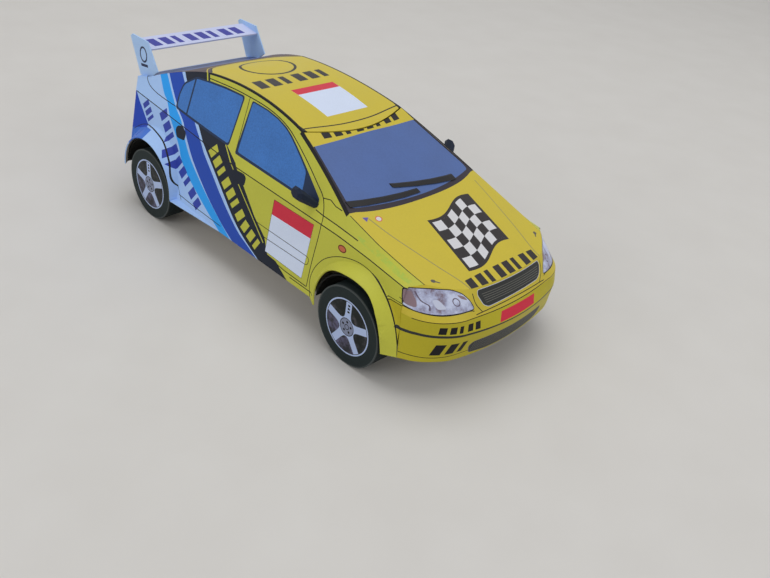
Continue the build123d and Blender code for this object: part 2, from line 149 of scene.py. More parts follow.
# from scuttle to nose: x, foot y, crease y, crease z, seam y, seam z, crown z, width of the top of the wing
front_stations = (
    (40.3, 34.9, 31.0, 35.8, 27.7, 42.2, 43.6, 6.4),
    (53.4, 34.7, 30.9, 34.6, 27.7, 38.4, 40.2, 4.97),
    (65.4, 34.3, 30.8, 33.0, 27.0, 35.4, 37.0, 4.5),
    (88.0, 33.6, 30.3, 30.0, 24.8, 30.0, 30.6, 5.5),
)
scuttle_x = front_stations[0][0]
panel_lean = tan(radians(10.3))
arch_edge_y, fold_y, arch_leg = 36.9, 34.2, 0.5
# x of the middle, half width and height above the foot, of the edge and of the fold
arches = (((52.45, 14.8, 16.4), (51.8, 19.6, 19.5)), ((-57.4, 15.45, 17.5), (-58.4, 17.2, 20.5)))
# the sides' yellow is the top yellow made greener: painted shade, standing for the bluish shade on them
ink_tints = {
    "sun_yellow": (210, 191, 64), "painted_shade_yellow": (199, 199, 74), "lamp_brown": (146, 124, 132),
    "line_black": (22, 21, 24), "band_black": (22, 30, 46), "print_white": (173, 207, 255),
    "sky_blue": (44, 166, 255), "navy": (36, 78, 184), "deep_blue": (20, 68, 188),
    "pale_blue_and_lit_flare": (62, 116, 214), "word_blue": (52, 70, 172), "window_edge": (32, 50, 80),
    "screen_edge": (48, 42, 52), "header_red": (214, 50, 72), "panel_white": (220, 232, 255),
    "marker_orange": (206, 112, 76), "marker_edge": (112, 50, 38), "roof_brown": (72, 56, 60),
    "grille_dark": (50, 52, 52), "bumper_yellow": (190, 178, 44),
}


def linear(tint):
    """A colour as screens show it, 0 to 255, turned into the light that the shader works with."""
    parts = [part / 255 for part in tint]
    return [part / 12.92 if part <= 0.04045 else ((part + 0.055) / 1.055) ** 2.4 for part in parts] + [1.0]


# The look of printed card, shared by every ink: soft mottling, fine specks and the card's own fibres
card_print = bpy.data.node_groups.new("card_print", "ShaderNodeTree")
for name, kind, start in (("Ink", "NodeSocketColor", None), ("Mottling", "NodeSocketFloat", 0.05),
                          ("Specks", "NodeSocketFloat", 0.05), ("Gloss", "NodeSocketFloat", 0.45)):
    socket = card_print.interface.new_socket(name, in_out="INPUT", socket_type=kind)
    if start is not None:
        socket.default_value = start
for name, kind in (
        ("Colour", "NodeSocketColor"), ("Roughness", "NodeSocketFloat"), ("Height", "NodeSocketFloat")):
    card_print.interface.new_socket(name, in_out="OUTPUT", socket_type=kind)
given = node(card_print, "NodeGroupInput")
place = node(card_print, "ShaderNodeTexCoord").outputs["Object"]
mottles = node(card_print, "ShaderNodeTexNoise", {"Vector": place, "Scale": 110.0, "Detail": 4.0})
specks = node(card_print, "ShaderNodeTexNoise", {"Vector": place, "Scale": 1900.0, "Detail": 2.0})
stretched = node(card_print, "ShaderNodeMapping", {"Vector": place, "Scale": (1.0, 2.6, 1.7)})
fibres = node(card_print, "ShaderNodeTexNoise", {
    "Vector": stretched.outputs["Vector"], "Scale": 700.0, "Detail": 5.0})


def swing(tree, pattern, amount):
    """A pattern turned into a number that swings about zero by an amount."""
    doubled = reckon(tree, "MULTIPLY", reckon(tree, "SUBTRACT", pattern, 0.5), 2.0)
    return reckon(tree, "MULTIPLY", doubled, amount)


both = reckon(card_print, "ADD", swing(card_print, mottles.outputs["Fac"], given.outputs["Mottling"]),
              swing(card_print, specks.outputs["Fac"], given.outputs["Specks"]))
shade = reckon(card_print, "ADD", both, 1.0)
coloured = node(
    card_print, "ShaderNodeVectorMath", {0: given.outputs["Ink"], "Scale": shade}, operation="SCALE")
uneven = reckon(card_print, "ADD", given.outputs["Gloss"], swing(card_print, mottles.outputs["Fac"], 0.12))
relief = reckon(card_print, "ADD", fibres.outputs["Fac"], specks.outputs["Fac"])
node(card_print, "NodeGroupOutput", {
    "Colour": coloured.outputs["Vector"], "Roughness": uneven, "Height": relief})


def card_material(name, tint, mottling=0.05, specks=0.05, gloss=0.45, relief=0.12, clouds=None):
    """Card in one ink. With a scale for its clouds, it is printed in several tones, from dark to pale."""
    material, tree = empty_material(name)
    surface = node(tree, "ShaderNodeGroup", node_tree=card_print)
    for key, value in (("Mottling", mottling), ("Specks", specks), ("Gloss", gloss)):
        surface.inputs[key].default_value = value
    if clouds:
        place = node(tree, "ShaderNodeTexCoord").outputs["Object"]
        noise = node(tree, "ShaderNodeTexNoise", {
            "Vector": place, "Scale": clouds, "Detail": 5.0, "Roughness": 0.65})
        tones = node(tree, "ShaderNodeValToRGB", {"Fac": noise.outputs["Fac"]})
        for at, tone in tint:
            stop = tones.color_ramp.elements.new(at) if 0 < at < 1 else tones.color_ramp.elements[-int(at)]
            stop.color = linear(tone)
        tree.links.new(tones.outputs["Color"], surface.inputs["Ink"])
    else:
        surface.inputs["Ink"].default_value = linear(tint)
    bump = node(tree, "ShaderNodeBump", {
        "Height": surface.outputs["Height"], "Strength": relief, "Distance": 0.1 * MM})
    shader = node(tree, "ShaderNodeBsdfPrincipled", {
        "Base Color": surface.outputs["Colour"], "Roughness": surface.outputs["Roughness"],
        "Specular IOR Level": 0.2, "Normal": bump.outputs["Normal"]})
    node(tree, "ShaderNodeOutputMaterial", {"Surface": shader.outputs["BSDF"]})
    return material


inks = {}


def mix(tints, **look):
    """Makes inks ready for use, by name."""
    for name, tint in tints.items():
        inks[name] = card_material(name, tint, **look)


mix(ink_tints)
yellow = ink_tints["painted_shade_yellow"]
# a greenish patch clouded into the yellow on the top of the front wing: a painted reflection of the sky
reflection_green = (178, 200, 82)
mix({"wing_sky_reflection": ((0, yellow), (0.4, yellow), (0.52, reflection_green), (0.62, yellow), (1, yellow))}, clouds=190.0)
mix({"window_blue": (68, 122, 196)}, mottling=0.2, specks=0.24)
mix({"screen_blue": (84, 110, 168)}, mottling=0.12, specks=0.1)
mix({"bare_card": (214, 208, 196)}, mottling=0.04, specks=0.08, gloss=0.8, relief=0.4)


def circle(a, b, c):
    """Centre and radius of the circle through three points."""
    (ax, ay), (bx, by), (cx, cy) = a, b, c
    d = 2 * (ax * (by - cy) + bx * (cy - ay) + cx * (ay - by))
    aa, bb, cc = ax * ax + ay * ay, bx * bx + by * by, cx * cx + cy * cy
    ox = (aa * (by - cy) + bb * (cy - ay) + cc * (ay - by)) / d
    oy = (aa * (cx - bx) + bb * (ax - cx) + cc * (bx - ax)) / d
    return ox, oy, hypot(ax - ox, ay - oy)


def arc(start, middle, end, count=16):
    """Points along the circle through three points."""
    ox, oy, r = circle(start, middle, end)
    first, via, last = [atan2(y - oy, x - ox) for x, y in (start, middle, end)]
    via, whole = (via - first) % (2 * pi), (last - first) % (2 * pi)
    if via > whole:
        whole -= 2 * pi
    turns = [first + whole * i / count for i in range(count + 1)]
    return [(ox + r * cos(a), oy + r * sin(a)) for a in turns]


def flowing(points, count=6):
    """A smooth line through a few points."""
    ends = [points[0], *points, points[-1]]
    line = []
    for a, b, c, d in zip(ends, ends[1:], ends[2:], ends[3:]):
        for i in range(count):
            t = i / count
            line.append(tuple(
                0.5 * (2 * q + (r - p) * t + (2 * p - 5 * q + 4 * r - s) * t * t
                       + (3 * q - p - 3 * r + s) * t ** 3) for p, q, r, s in zip(a, b, c, d)))
    return line + [tuple(points[-1])]


def stroke(points, width):
    """The outline of a line of even width."""
    sides = ([], [])
    last = len(points) - 1
    for i, (x, y) in enumerate(points):
        before, after = points[max(i - 1, 0)], points[min(i + 1, last)]
        dx, dy = after[0] - before[0], after[1] - before[1]
        size = hypot(dx, dy) or 1.0
        nx, ny = -dy / size * width / 2, dx / size * width / 2
        sides[0].append((x + nx, y + ny))
        sides[1].append((x - nx, y - ny))
    return sides[0] + sides[1][::-1]


def ring(points, width):
    """A closed line as a few overlapping strokes."""
    half = len(points) // 2
    return [stroke(points[:half + 1], width), stroke(points[half:] + points[:1], width)]


def rounded(points, radius, count=4):
    """A shape with its corners rounded."""
    shape = []
    for i, corner in enumerate(points):
        corner = Vector(corner)
        before, after = Vector(points[i - 1]) - corner, Vector(points[(i + 1) % len(points)]) - corner
        cut = min(radius, before.length * 0.45, after.length * 0.45)
        a, b = corner + before.normalized() * cut, corner + after.normalized() * cut
        for j in range(count + 1):
            t = j / count
            shape.append(tuple(a * (1 - t) ** 2 + corner * 2 * t * (1 - t) + b * t * t))
    return shape


def line(points, width, ink="line_black"):
    """A printed line."""
    return ink, stroke(points, width)


def inked(ink, shapes):
    """Several shapes in one ink."""
    return [(ink, shape) for shape in shapes]


def disc(x, y, r, count=24, r2=None):
    """A round or oval shape."""
    return [(x + r * cos(2 * pi * i / count), y + (r2 or r) * sin(2 * pi * i / count)) for i in range(count)]


def area(points):
    """Signed area of a shape, positive where it runs anticlockwise."""
    return sum(a[0] * b[1] - b[0] * a[1] for a, b in zip(points, points[1:] + points[:1])) / 2


def divided(shape, longest):
    """The same shape with points along its long edges, so that the print follows the bends of its card."""
    points = []
    for (ax, ay), (bx, by) in zip(shape, shape[1:] + shape[:1]):
        parts = max(1, int(np.ceil(np.hypot(bx - ax, by - ay) / longest)))
        points += [(ax + (bx - ax) * i / parts, ay + (by - ay) * i / parts) for i in range(parts)]
    return points


def printed_card(name, outline, drawing, base, place, step, folds=(), flip=False, thick=card,
                 back="bare_card", sharp=14.0, longest=None):
    """A card cut to an outline, printed with a drawing, its last shapes on top, and bent into place."""
    points, faces, edges = [], [], []
    for shape in [outline] + [divided(list(shape), longest or min(step)) for _, shape in drawing]:
        shape = list(shape) if area(list(shape)) > 0 else list(shape)[::-1]
        faces.append(list(range(len(points), len(points) + len(shape))))
        points += shape
    for fold in folds:
        edges += [(len(points) + i, len(points) + i + 1) for i in range(len(fold) - 1)]
        points += fold
    low = [min(p[i] for p in outline) for i in (0, 1)]
    high = [max(p[i] for p in outline) for i in (0, 1)]
    for u in np.arange(low[0] + step[0] / 2, high[0], step[0]):
        for v in np.arange(low[1] + step[1] / 2, high[1], step[1]):
            points.append((float(u), float(v)))
    inside_only, weld = 1, 0.004
    flat, _, triangles, _, _, sources = delaunay_2d_cdt(
        [Vector(p) for p in points], edges, faces, inside_only, weld)
    triangles = [(tri, max(source)) for tri, source in zip(triangles, sources) if 0 in source]
    used = sorted({i for tri, _ in triangles for i in tri})
    number = {old: new for new, old in enumerate(used)}
    outer = [Vector(place(flat[i].x, flat[i].y)) for i in used]
    turn = -1 if flip else 1
    skin = [(tuple([number[i] for i in tri][::turn]), source) for tri, source in triangles]
    normals = [Vector() for _ in outer]
    for (a, b, c), _ in skin:
        across = (outer[b] - outer[a]).cross(outer[c] - outer[a])
        for i in (a, b, c):
            normals[i] += across
    inner = [point - normal.normalized() * thick for point, normal in zip(outer, normals)]
    count = len(outer)
    names = [base, back, *dict.fromkeys(ink for ink, _ in drawing if ink not in (base, back))]
    faces_out, slots, sides = [], [], {}
    for tri, source in skin:
        faces_out.append(tri)
        slots.append(names.index(drawing[source - 1][0]) if source else 0)
        for i in range(3):
            sides[(tri[i], tri[(i + 1) % 3])] = slots[-1]
    for tri, _ in skin:
        faces_out.append(tuple(i + count for i in reversed(tri)))
        slots.append(1)
    for (a, b), slot in sides.items():
        if (b, a) not in sides:
            faces_out.append((b, a, a + count, b + count))
            slots.append(slot)
    mesh = bpy.data.meshes.new(name)
    mesh.from_pydata([tuple(point * MM) for point in outer + inner], [], faces_out)
    for ink_name in names:
        mesh.materials.append(inks[ink_name])
    mesh.polygons.foreach_set("material_index", slots)
    mesh.polygons.foreach_set("use_smooth", [True] * len(faces_out))
    mesh.set_sharp_from_angle(angle=radians(sharp))
    mesh.update()
    return placed(name, mesh)


def dress(piece, cad_node, body="body"):
    """Lets a finished piece stand for a solid of the model and ride on its body."""
    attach(piece, body)
    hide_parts(cad_node)


def station(stations, x, column):
    """A column of a table of stations, read at any x."""
    return float(np.interp(x, [row[0] for row in stations], [row[column] for row in stations]))


def crease_z(x):
    """Height of the shoulder."""
    return station(side_stations, x, 2) if x < scuttle_x else station(front_stations, x, 3)


def plain_side_y(x, z):
    """Half width of the body, without its arches."""
    crease = crease_z(x)
    top = cabin_foot_y - cabin_taper * x - cabin_lean * crease
    if x >= scuttle_x:
        foot, top = station(front_stations, x, 1), station(front_stations, x, 2)
    else:
        foot = station(side_stations, x, 1)
        if z > crease:
            return cabin_foot_y - cabin_taper * x - cabin_lean * z
    return foot + (top - foot) * (z - foot_z) / (crease - foot_z)


def arch_scale(outline, x, z):
    """How far out a point lies from the foot of an arch: 1 on the outline itself."""
    middle, half, height = outline
    rise = height - arch_leg
    r = (half * half + rise * rise) / (2 * rise)
    centre = height - r - arch_leg
    dx, dz = x - middle, z - foot_z - arch_leg
    if dz <= 0:
        return abs(dx) / half
    a, b, c = dx * dx + dz * dz, -2 * centre * dz, centre * centre - r * r
    return 2 * a / (-b + sqrt(b * b - 4 * a * c)) if a else 0.0


def flare_y(arch, x, z):
    """Half width of the raised arch, or nothing outside its fold."""
    edge, fold = arch
    beyond, inside = arch_scale(edge, x, z) - 1, 1 - arch_scale(fold, x, z)
    if inside <= 0:
        return 0.0
    share = inside / (inside + max(beyond, 0.0))
    flat = fold_y - (z - foot_z) * panel_lean
    return flat + share * (arch_edge_y - flat)


def on_side(x, v):
    """Place on the right side. Above the shoulder of the wing, v goes on across its top."""
    crease = crease_z(x)
    if x >= scuttle_x and v > crease:
        share = (v - crease) / station(front_stations, x, 7)
        _, y0, z0, y1, z1 = [station(front_stations, x, column) for column in (1, 2, 3, 4, 5)]
        return x, -(y0 + (y1 - y0) * share), z0 + (z1 - z0) * share
    y = max([plain_side_y(x, v)] + [flare_y(arch, x, v) for arch in arches])
    return x, -y, v


# Nose, as level outlines: z, joint x, joint y, corner x, corner y, turn x, turn y, middle x
nose_levels = (
    (10.5, 71.72, 34.58, 77.6, 29.29, 80.71, 21.44, 82.37),
    (21.5, 69.4, 32.5, 77.6, 28.8, 83.4, 19.0, 85.85),
    (25.7, 68.4, 31.7, 77.0, 28.6, 82.4, 18.0, 83.3),
    (38.0, 66.7, 29.7, 70.5, 22.6, 76.0, 15.5, 78.2),
)


def bent_x(levels, y, z):
    """How far forward or back a bent card lies at a place on it."""
    joint_x, joint_y, corner_x, corner_y, turn_x, turn_y, middle_x = [
        station(levels, z, i) for i in range(1, 8)]
    ahead = 1 if middle_x > joint_x else -1
    y = abs(y)
    if y <= turn_y:
        rise = abs(middle_x - turn_x)
        r = (turn_y * turn_y + rise * rise) / (2 * rise)
        return middle_x - ahead * (r - sqrt(r * r - y * y))
    ox, oy, r = circle((joint_x, joint_y), (corner_x, corner_y), (turn_x, turn_y))
    return ox + ahead * sqrt(max(r * r - (y - oy) ** 2, 0.0))


def solve(test, low, high):
    """The place between two ends where a test changes sign."""
    rising = test(high) > 0
    for _ in range(40):
        middle = (low + high) / 2
        if (test(middle) > 0) == rising:
            high = middle
        else:
            low = middle
    return (low + high) / 2


nose_joint = ((71.3, foot_z), (69.4, 21.5), (68.4, 25.7), (68.2, 29))
lip_x, lip_z = nose_joint[-1]


def past_nose(x, v):
    """Above zero where a place on the wing would lie ahead of the nose."""
    _, y, z = on_side(x, v)
    z = max(z, lip_z)
    return x - (bent_x(nose_levels, y, z) if -y < station(nose_levels, z, 2) else lip_x)


def wing_top(x):
    """Height on the drawing of a side at which the bonnet begins."""
    return crease_z(x) + station(front_stations, x, 7)


def wing_end(share):
    """Where the top of the wing meets the nose, from its shoulder to the bonnet seam."""
    x = solve(lambda x: past_nose(x, crease_z(x) + share * station(front_stations, x, 7)), lip_x, 86.0)
    return x, crease_z(x) + share * station(front_stations, x, 7)


roof_front, roof_mid, roof_rear = (17, 53.51), (-12.4, 58.2), (-40.6, 57.2)
rear_glass_mid, rear_glass_foot = (-56, 53), (-71.4, 46.8)
tail_top, tail_fold, tail_foot = (-78, 45.2), (-75.8, 40.6), (-75.6, 14.6)
header, pillar_mid, pillar_foot = (9.9, 55.2), (26.6, 48.6), (40.3, 42.2)


def arch_opening(arch):
    """The cut edge of a wheel arch, from front to rear."""
    middle, half, height = arch[0]
    leg_z = foot_z + arch_leg
    top = arc((middle + half, leg_z), (middle, foot_z + height), (middle - half, leg_z), 40)
    if arch is arches[0]:
        top = flowing([
            top[0], (66, 18.2), (63.9, 23.4), (60.9, 26.7), (57.1, 28.7), (52.1, 29.4), (46.8, 28.6),
            (42.2, 26.7), (38.9, 24), (37, 20.6), (36.4, 17), top[-1]], 5)
    return [(middle + half, foot_z), *top, (middle - half, foot_z)]


side_outline = [
    tail_top, tail_fold, tail_foot, (arches[1][0][0] - arches[1][0][1], tail_foot[1]),
    *arch_opening(arches[1])[::-1][1:],
    *arch_opening(arches[0])[::-1],
    *nose_joint,
    *[wing_end(i / 8) for i in range(9)],
    *[(x, wing_top(x)) for x in np.arange(66.0, scuttle_x + 1, -2.0).tolist()],
    (scuttle_x - 0.01, pillar_foot[1]),
    *arc(pillar_foot, pillar_mid, header, 20)[1:],
    *arc(header, roof_mid, roof_rear, 24)[1:],
    *arc(roof_rear, rear_glass_mid, rear_glass_foot, 16)[1:],
]


def arch_fold(arch):
    """The line where a raised arch leaves the side."""
    middle, centre = arch[1][0], foot_z + arch_leg
    nearest, farthest, hair = 13.5, 24.0, 0.01
    fold = []
    for i in range(49):
        a = pi * i / 48
        reach = solve(lambda r: flare_y(arch, middle + r * cos(a), centre + r * sin(a) + hair)
                      - plain_side_y(middle + r * cos(a), centre + r * sin(a) + hair), nearest, farthest)
        fold.append((middle + reach * cos(a), centre + reach * sin(a)))
    return fold


shoulder = [(x, crease_z(x)) for x in np.arange(-75.4, 74.5, 3.0).tolist()]
side_folds = [shoulder, arch_fold(arches[0]), arch_fold(arches[1])]

# edges of the bands of colour on the side, from above the window to the sill
sky_front = flowing([
    (-62.6, 50.9), (-57.1, 47), (-50.5, 42.6), (-44.5, 39.4), (-40.5, 34.2), (-35.6, 29.2), (-25.1, 22.1),
    (-14.1, 15.9), (-6.9, 12)])
sky_rear = flowing([
    (-66.2, 49.6), (-60, 44.8), (-55.6, 42.3), (-45, 32.4), (-41.7, 27.7), (-36.2, 23.4), (-27, 18.6),
    (-18.7, 14.6), (-13, 12)])
navy_rear = flowing([
    (-61.7, 51.4), (-56.1, 47.3), (-49.3, 42.8), (-43.3, 39.5), (-39.6, 35), (-34.2, 29.4), (-23.8, 21.6),
    (-13.2, 15.5), (-5.6, 12)])
navy_front = flowing([
    (-55.4, 53.9), (-51.7, 51.2), (-37.6, 41.3), (-32.4, 38), (-28.9, 34.4), (-23.1, 29.9), (-15.8, 24.2),
    (-5.6, 17.4), (1.2, 14.6), (8, 12)])
black_rear = flowing([
    (-53.9, 54.6), (-50.4, 51.6), (-35.9, 41.6), (-30.6, 37.9), (-27.1, 35.1), (-21.3, 30.6), (-14.2, 25),
    (-7.2, 19.6), (-0.6, 15.9), (9, 12)])
black_front = [
    (-41, 57.8), (-38.5, 54.5), (-19.4, 41.2), (-11.9, 37.8), (-6.8, 33.6), (2.2, 25.4), (8.7, 21),
    (11.5, 16.3), (16, 16), (23.5, 12)]
rear_window = rounded([
    (-50.2, 43.2), (-51.3, 47), (-51, 50.4), (-46.1, 53.7), (-38.8, 54.5), (-30, 55.2), (-20.3, 55.6),
    (-18.7, 41.5), (-30, 42)], 1.2)
front_window = rounded([
    (-15.2, 55.6), (-7.5, 55.4), (-1.7, 54.7), (3, 53.6), (6.6, 52.2), (10.4, 50.3), (14.4, 48.2), (18.2, 46),
    (19.5, 42.6), (20, 40), (-13, 40.9)], 0.9)
door_line = flowing([
    (-40, 55.7), (-27.1, 56.4), (-17.9, 56.5), (-9.5, 56.3), (-2.2, 55.5), (4, 54.1), (9.3, 52.1),
    (16.8, 48.7), (23.7, 45.2), (28.8, 42.3), (31.7, 38.1), (32.3, 34.2), (31.6, 22.7), (31.5, 15)])
number_panel = [(10.2, 34.4), (29.3, 34.5), (28.6, 16.4), (10.2, 16.9)]
moulding = [
    (2, 24.1), (28.4, 24), (29.4, 23.9), (30, 23.6), (30.2, 23), (30.1, 22.1), (29.8, 21.6), (29.1, 21.3),
    (8.5, 21)]


def word_blocks(start, end, height, count, lean=0.0):
    """A row of plain slanted blocks of uneven width."""
    start, end = Vector(start), Vector(end)
    along = (end - start) / count
    across = Vector((-along.y, along.x)).normalized() * height
    slant = along.normalized() * lean
    blocks = []
    for i in range(count):
        a = start + along * (i + 0.12)
        b = start + along * (i + 0.80)
        if i % 3 == 2:
            b = start + along * (i + 0.55)
        blocks.append([tuple(a), tuple(b), tuple(b + across + slant), tuple(a + across + slant)])
    return blocks


front_fold = flowing([
    (33.8, 12.5), (32.4, 17.6), (33.3, 22.2), (36.4, 26.6), (40.9, 29.6), (46, 31.4), (51.4, 32), (56.8, 31),
    (61.4, 28.8), (65.2, 25.7), (68.2, 21.7), (70.3, 17), (71.4, 12.5)], 8)
fold_ahead = front_fold[60:]
side_drawing = [
    ("print_white", [(-90, 60), (-90, 5), (-14, 5)] + sky_rear[::-1]),
    ("deep_blue", [
        (-80, 41), (-75.6, 40.9), (-73.2, 38.4), (-69.9, 35.7), (-66.5, 32.8), (-64.4, 31.3), (-66.8, 27.3),
        (-80, 20)]),
    # painted light: the upper part of the rear flare in a paler blue, as it faces up
    ("pale_blue_and_lit_flare", [(-64.2, 31.4), (-60, 31.9), (-58.4, 29), (-66, 26), (-76, 22), (-76, 27), (-70, 29)]),
    ("sky_blue", sky_rear + sky_front[::-1]),
    ("print_white", sky_front + navy_rear[::-1]),
    ("navy", navy_rear + navy_front[::-1]),
    ("print_white", navy_front + black_rear[::-1]),
    ("band_black", black_rear + black_front[::-1]),
    line(flowing([(-19.6, 40.9), (-12.7, 36.1), (-8.5, 32.2), (-0.2, 25.8), (8.6, 19)]), 0.4, "painted_shade_yellow"),
    *inked("painted_shade_yellow", word_blocks((-27.2, 36.6), (-4.8, 19.6), 4.6, 7, 0.5)),
    *inked("painted_shade_yellow", word_blocks((-4.3, 19.2), (6.8, 14.2), 4.0, 3, 0.5)),
    *inked("word_blue", word_blocks((-59.2, 38.4), (-46.7, 26), 4.6, 4, 0.3)),
    *inked("word_blue", word_blocks((-46.2, 25.4), (-28.2, 13.4), 4.3, 5, 0.3)),
    *inked("word_blue", word_blocks((-70.6, 37.9), (-64.4, 31.8), 4.2, 3, 0.3)),
    ("band_black", rounded([
        (-47.6, 36.4), (-46.6, 38), (-43.6, 38.9), (-40.9, 37.3), (-41.4, 34.4), (-46.2, 33.9)], 0.9)),
    ("band_black", rounded([
        (-13.6, 35.2), (-9.1, 36.2), (-6.2, 36.3), (-5, 35.4), (-5.3, 32.6), (-9.3, 31.8), (-13.2, 31.8)],
        1.0)),
    ("painted_shade_yellow", [(-39.2, 58), (40, 58), (40, 52), (-37.2, 54.9)]),
    ("window_edge", rounded([
        (-50.9, 42.6), (-52, 47), (-51.6, 50.8), (-46.3, 54.3), (-38.8, 55.1), (-30, 55.8), (-19.7, 56.1),
        (-18, 40.9), (-30, 41.3)], 1.2)),
    ("window_blue", rear_window),
    line([(-46.3, 53.9), (-44, 42.5)], 0.8, "window_edge"),
    ("painted_shade_yellow", [(-42.6, 57.4), (-41.9, 57.4), (-39.9, 54.8), (-40.6, 54.8)]),
    ("window_edge", rounded([
        (-15.7, 56), (-7.4, 55.8), (-1.5, 55.1), (3.3, 54), (6.9, 52.6), (10.8, 50.7), (14.8, 48.6),
        (18.9, 46.4), (27.8, 41.4), (28, 39), (20, 39.3), (-14, 40.1)], 0.8)),
    ("window_blue", front_window),
    line(flowing([(-17.4, 56.4), (-15.5, 48), (-13.9, 40.6)]), 0.28),
    line(door_line, 0.3),
    line(arc(header, roof_mid, roof_rear, 24), 1.0),
    line(arc(pillar_foot, pillar_mid, header, 20), 2.2),
    line([(x, z) for x, z in shoulder if -75.5 < x < 73.0], 0.32),
    ("line_black", [
        (68, 28.3), (67.3, 30.4), (66.9, 32.2), (67.3, 32.9), (68.6, 33.2), (73, 33.3), (73, 27.9)]),
    ("lamp_brown", [
        (68.4, 28.6), (67.7, 30.4), (67.3, 32.1), (67.7, 32.5), (68.6, 32.8), (73, 32.9), (73, 28.3)]),
    line(flowing([(28, 38.6), (31.6, 38.3), (39.3, 38), (47, 37.4)]), 0.3),
    line(number_panel + number_panel[:1], 0.3),
    ("panel_white", number_panel),
    ("header_red", [(10.2, 34.4), (29.3, 34.5), (29.1, 29.9), (10.2, 29.6)]),
    line(moulding, 0.22),
    line([(10, 16), (20.5, 15), (31.5, 14.9)], 0.3),
    line([(23.5, 14.1), (35.5, 14.1)], 0.3),
    ("bumper_yellow", fold_ahead + [(76, 12), (76, 28), (63.2, 27.6)]),
    line([(68.3, 21.5), (69.5, 21.1), (71.5, 20.9)], 0.8, "grille_dark"),
    line([(62.9, 28), (70, 28.1)], 0.22),
    line([(63.4, 27.4), (70, 27.5)], 0.22),
    line(front_fold, 0.24),
    line(flowing([
        (-74.5, 27), (-68, 30.9), (-59.5, 32.3), (-51.5, 30.6), (-45.4, 25.6), (-41.6, 18.4), (-38.4, 13.8)],
        10), 0.22),
    line(flowing([
        (-72.8, 46.8), (-71.4, 45.6), (-68.6, 44.4), (-63.9, 43.6), (-57.7, 43.2), (-51, 43)]), 0.26),
    line([(-40, 15.2), (-31, 14.8), (-14, 14.6)], 0.26),
    line([(28.8, 42.3), (31.8, 42.9), (34.6, 42.1), (37.5, 42)], 0.26),
    # painted reflection: greenish sky light on the top of the front wing
    ("wing_sky_reflection", flowing([
        (46, 38.6), (53, 38.4), (60, 37.2), (66, 36), (72, 34.6), (64, 34.6), (56, 36.2), (48, 37.4)], 3)),
    line([(x, wing_top(x) - 0.06) for x in np.arange(41, 74, 2.0).tolist()], 0.3),
    ("marker_edge", disc(42.6, 32.9, 1.75, 20, 1.1)),
    ("marker_orange", disc(42.6, 32.9, 1.35, 20, 0.75)),
    line([(68.9, 28.8), (68, 29.2), (66.8, 29.5)], 0.2),
]
whole_edges = 1000.0    # more than any edge, so the print on the sides is cut as it is drawn
for hand, sign in (("right", 1), ("left", -1)):
    side = printed_card(
        f"side_card_{hand}", side_outline, side_drawing, "painted_shade_yellow",
        lambda x, v, sign=sign: Vector(on_side(x, v)) * Vector((1, sign, 1)),
        (1.6, 1.2), side_folds, flip=sign < 0, sharp=9.0, longest=whole_edges)
    dress(side, f"side_{hand}")


# Windscreen: a card bent across the car, glued under the roof and behind the bonnet. Its glass,
# dark border and yellow sun strip, with a row of plain blocks, are print.
# how far the cards of the cabin stop inside the sides, and the windscreen's edges under their neighbours
cabin_inset, under_bonnet, under_roof = 0.225, 0.15, 0.2
# at two heights: z, x beside the sides, half width, x in the middle
screen_low, screen_high = (38.0, 49.6, 30.0, 56.4), (60.0, -1.2, 20.0, -0.34)


def on_screen(y, z):
    share = (z - screen_low[0]) / (screen_high[0] - screen_low[0])
    pillar_x, half, middle_x = [a + (b - a) * share for a, b in zip(screen_low[1:], screen_high[1:])]
    rise = middle_x - pillar_x
    r = (half * half + rise * rise) / (2 * rise)
    return middle_x - r + sqrt(max(r * r - y * y, 0.0)), y, z


def crown(x, y):
    """Height of the bonnet."""
    seam_y, seam_z, crown_z = [station(front_stations, x, column) for column in (4, 5, 6)]
    return seam_z + (crown_z - seam_z) * (1 - (y / seam_y) ** 2)


def on_circle(a, b, c, x):
    """Height of the upper arc through three points."""
    ox, oy, r = circle(a, b, c)
    return oy + sqrt(max(r * r - (x - ox) ** 2, 0.0))


def roof_height(x):
    return on_circle(roof_front, roof_mid, roof_rear, x)


def cabin_half(x, z):
    """Half width of the cards that lie between the sides."""
    return cabin_foot_y - cabin_taper * x - cabin_lean * z - cabin_inset


def screen_foot(y):
    """Height at which the windscreen meets the bonnet."""
    return solve(lambda z: z - crown(on_screen(y, z)[0], y), 38.5, 46.0) - under_bonnet


def screen_head(y):
    """Height at which the windscreen meets the roof."""
    return solve(lambda z: z - roof_height(on_screen(y, z)[0]), 50.0, 59.0) - under_roof


def screen_side(z):
    return solve(lambda y: y - cabin_half(on_screen(y, z)[0], z), 15.0, 33.0)


def spanned(half, place):
    """Points from one side of the car to the other, each worked out from its y."""
    return [place(u * half) for u in np.linspace(-1, 1, 25).tolist()]


foot_half, head_half = screen_side(42.3), screen_side(54.9)
sides_z = np.linspace(42.9, 54.6, 9).tolist()
screen_outline = [
    *spanned(foot_half, lambda y: (y, screen_foot(y))),
    *[(screen_side(z), z) for z in sides_z],
    *spanned(head_half, lambda y: (-y, screen_head(y))),
    *[(-screen_side(z), z) for z in sides_z[::-1]],
]
glass = rounded([(-26, 42.9), (26, 42.9), (21, 53.6), (-21, 53.6)], 1.4)
strip_foot = flowing([
    (-25, 52.1), (-22.4, 52.5), (-12.9, 52.9), (-0.5, 53.2), (12.9, 52.9), (22.4, 52.5), (25, 52.1)])
screen_drawing = [
    ("screen_blue", glass),
    ("sun_yellow", strip_foot + [(25, 58), (-25, 58)]),
    *inked("line_black", word_blocks((-17, 53.5), (17, 53.5), 1.2, 8, 0.5)),
]
windscreen = printed_card(
    "windscreen_card", screen_outline, screen_drawing, "screen_edge", on_screen, (1.6, 1))
dress(windscreen, "windscreen")

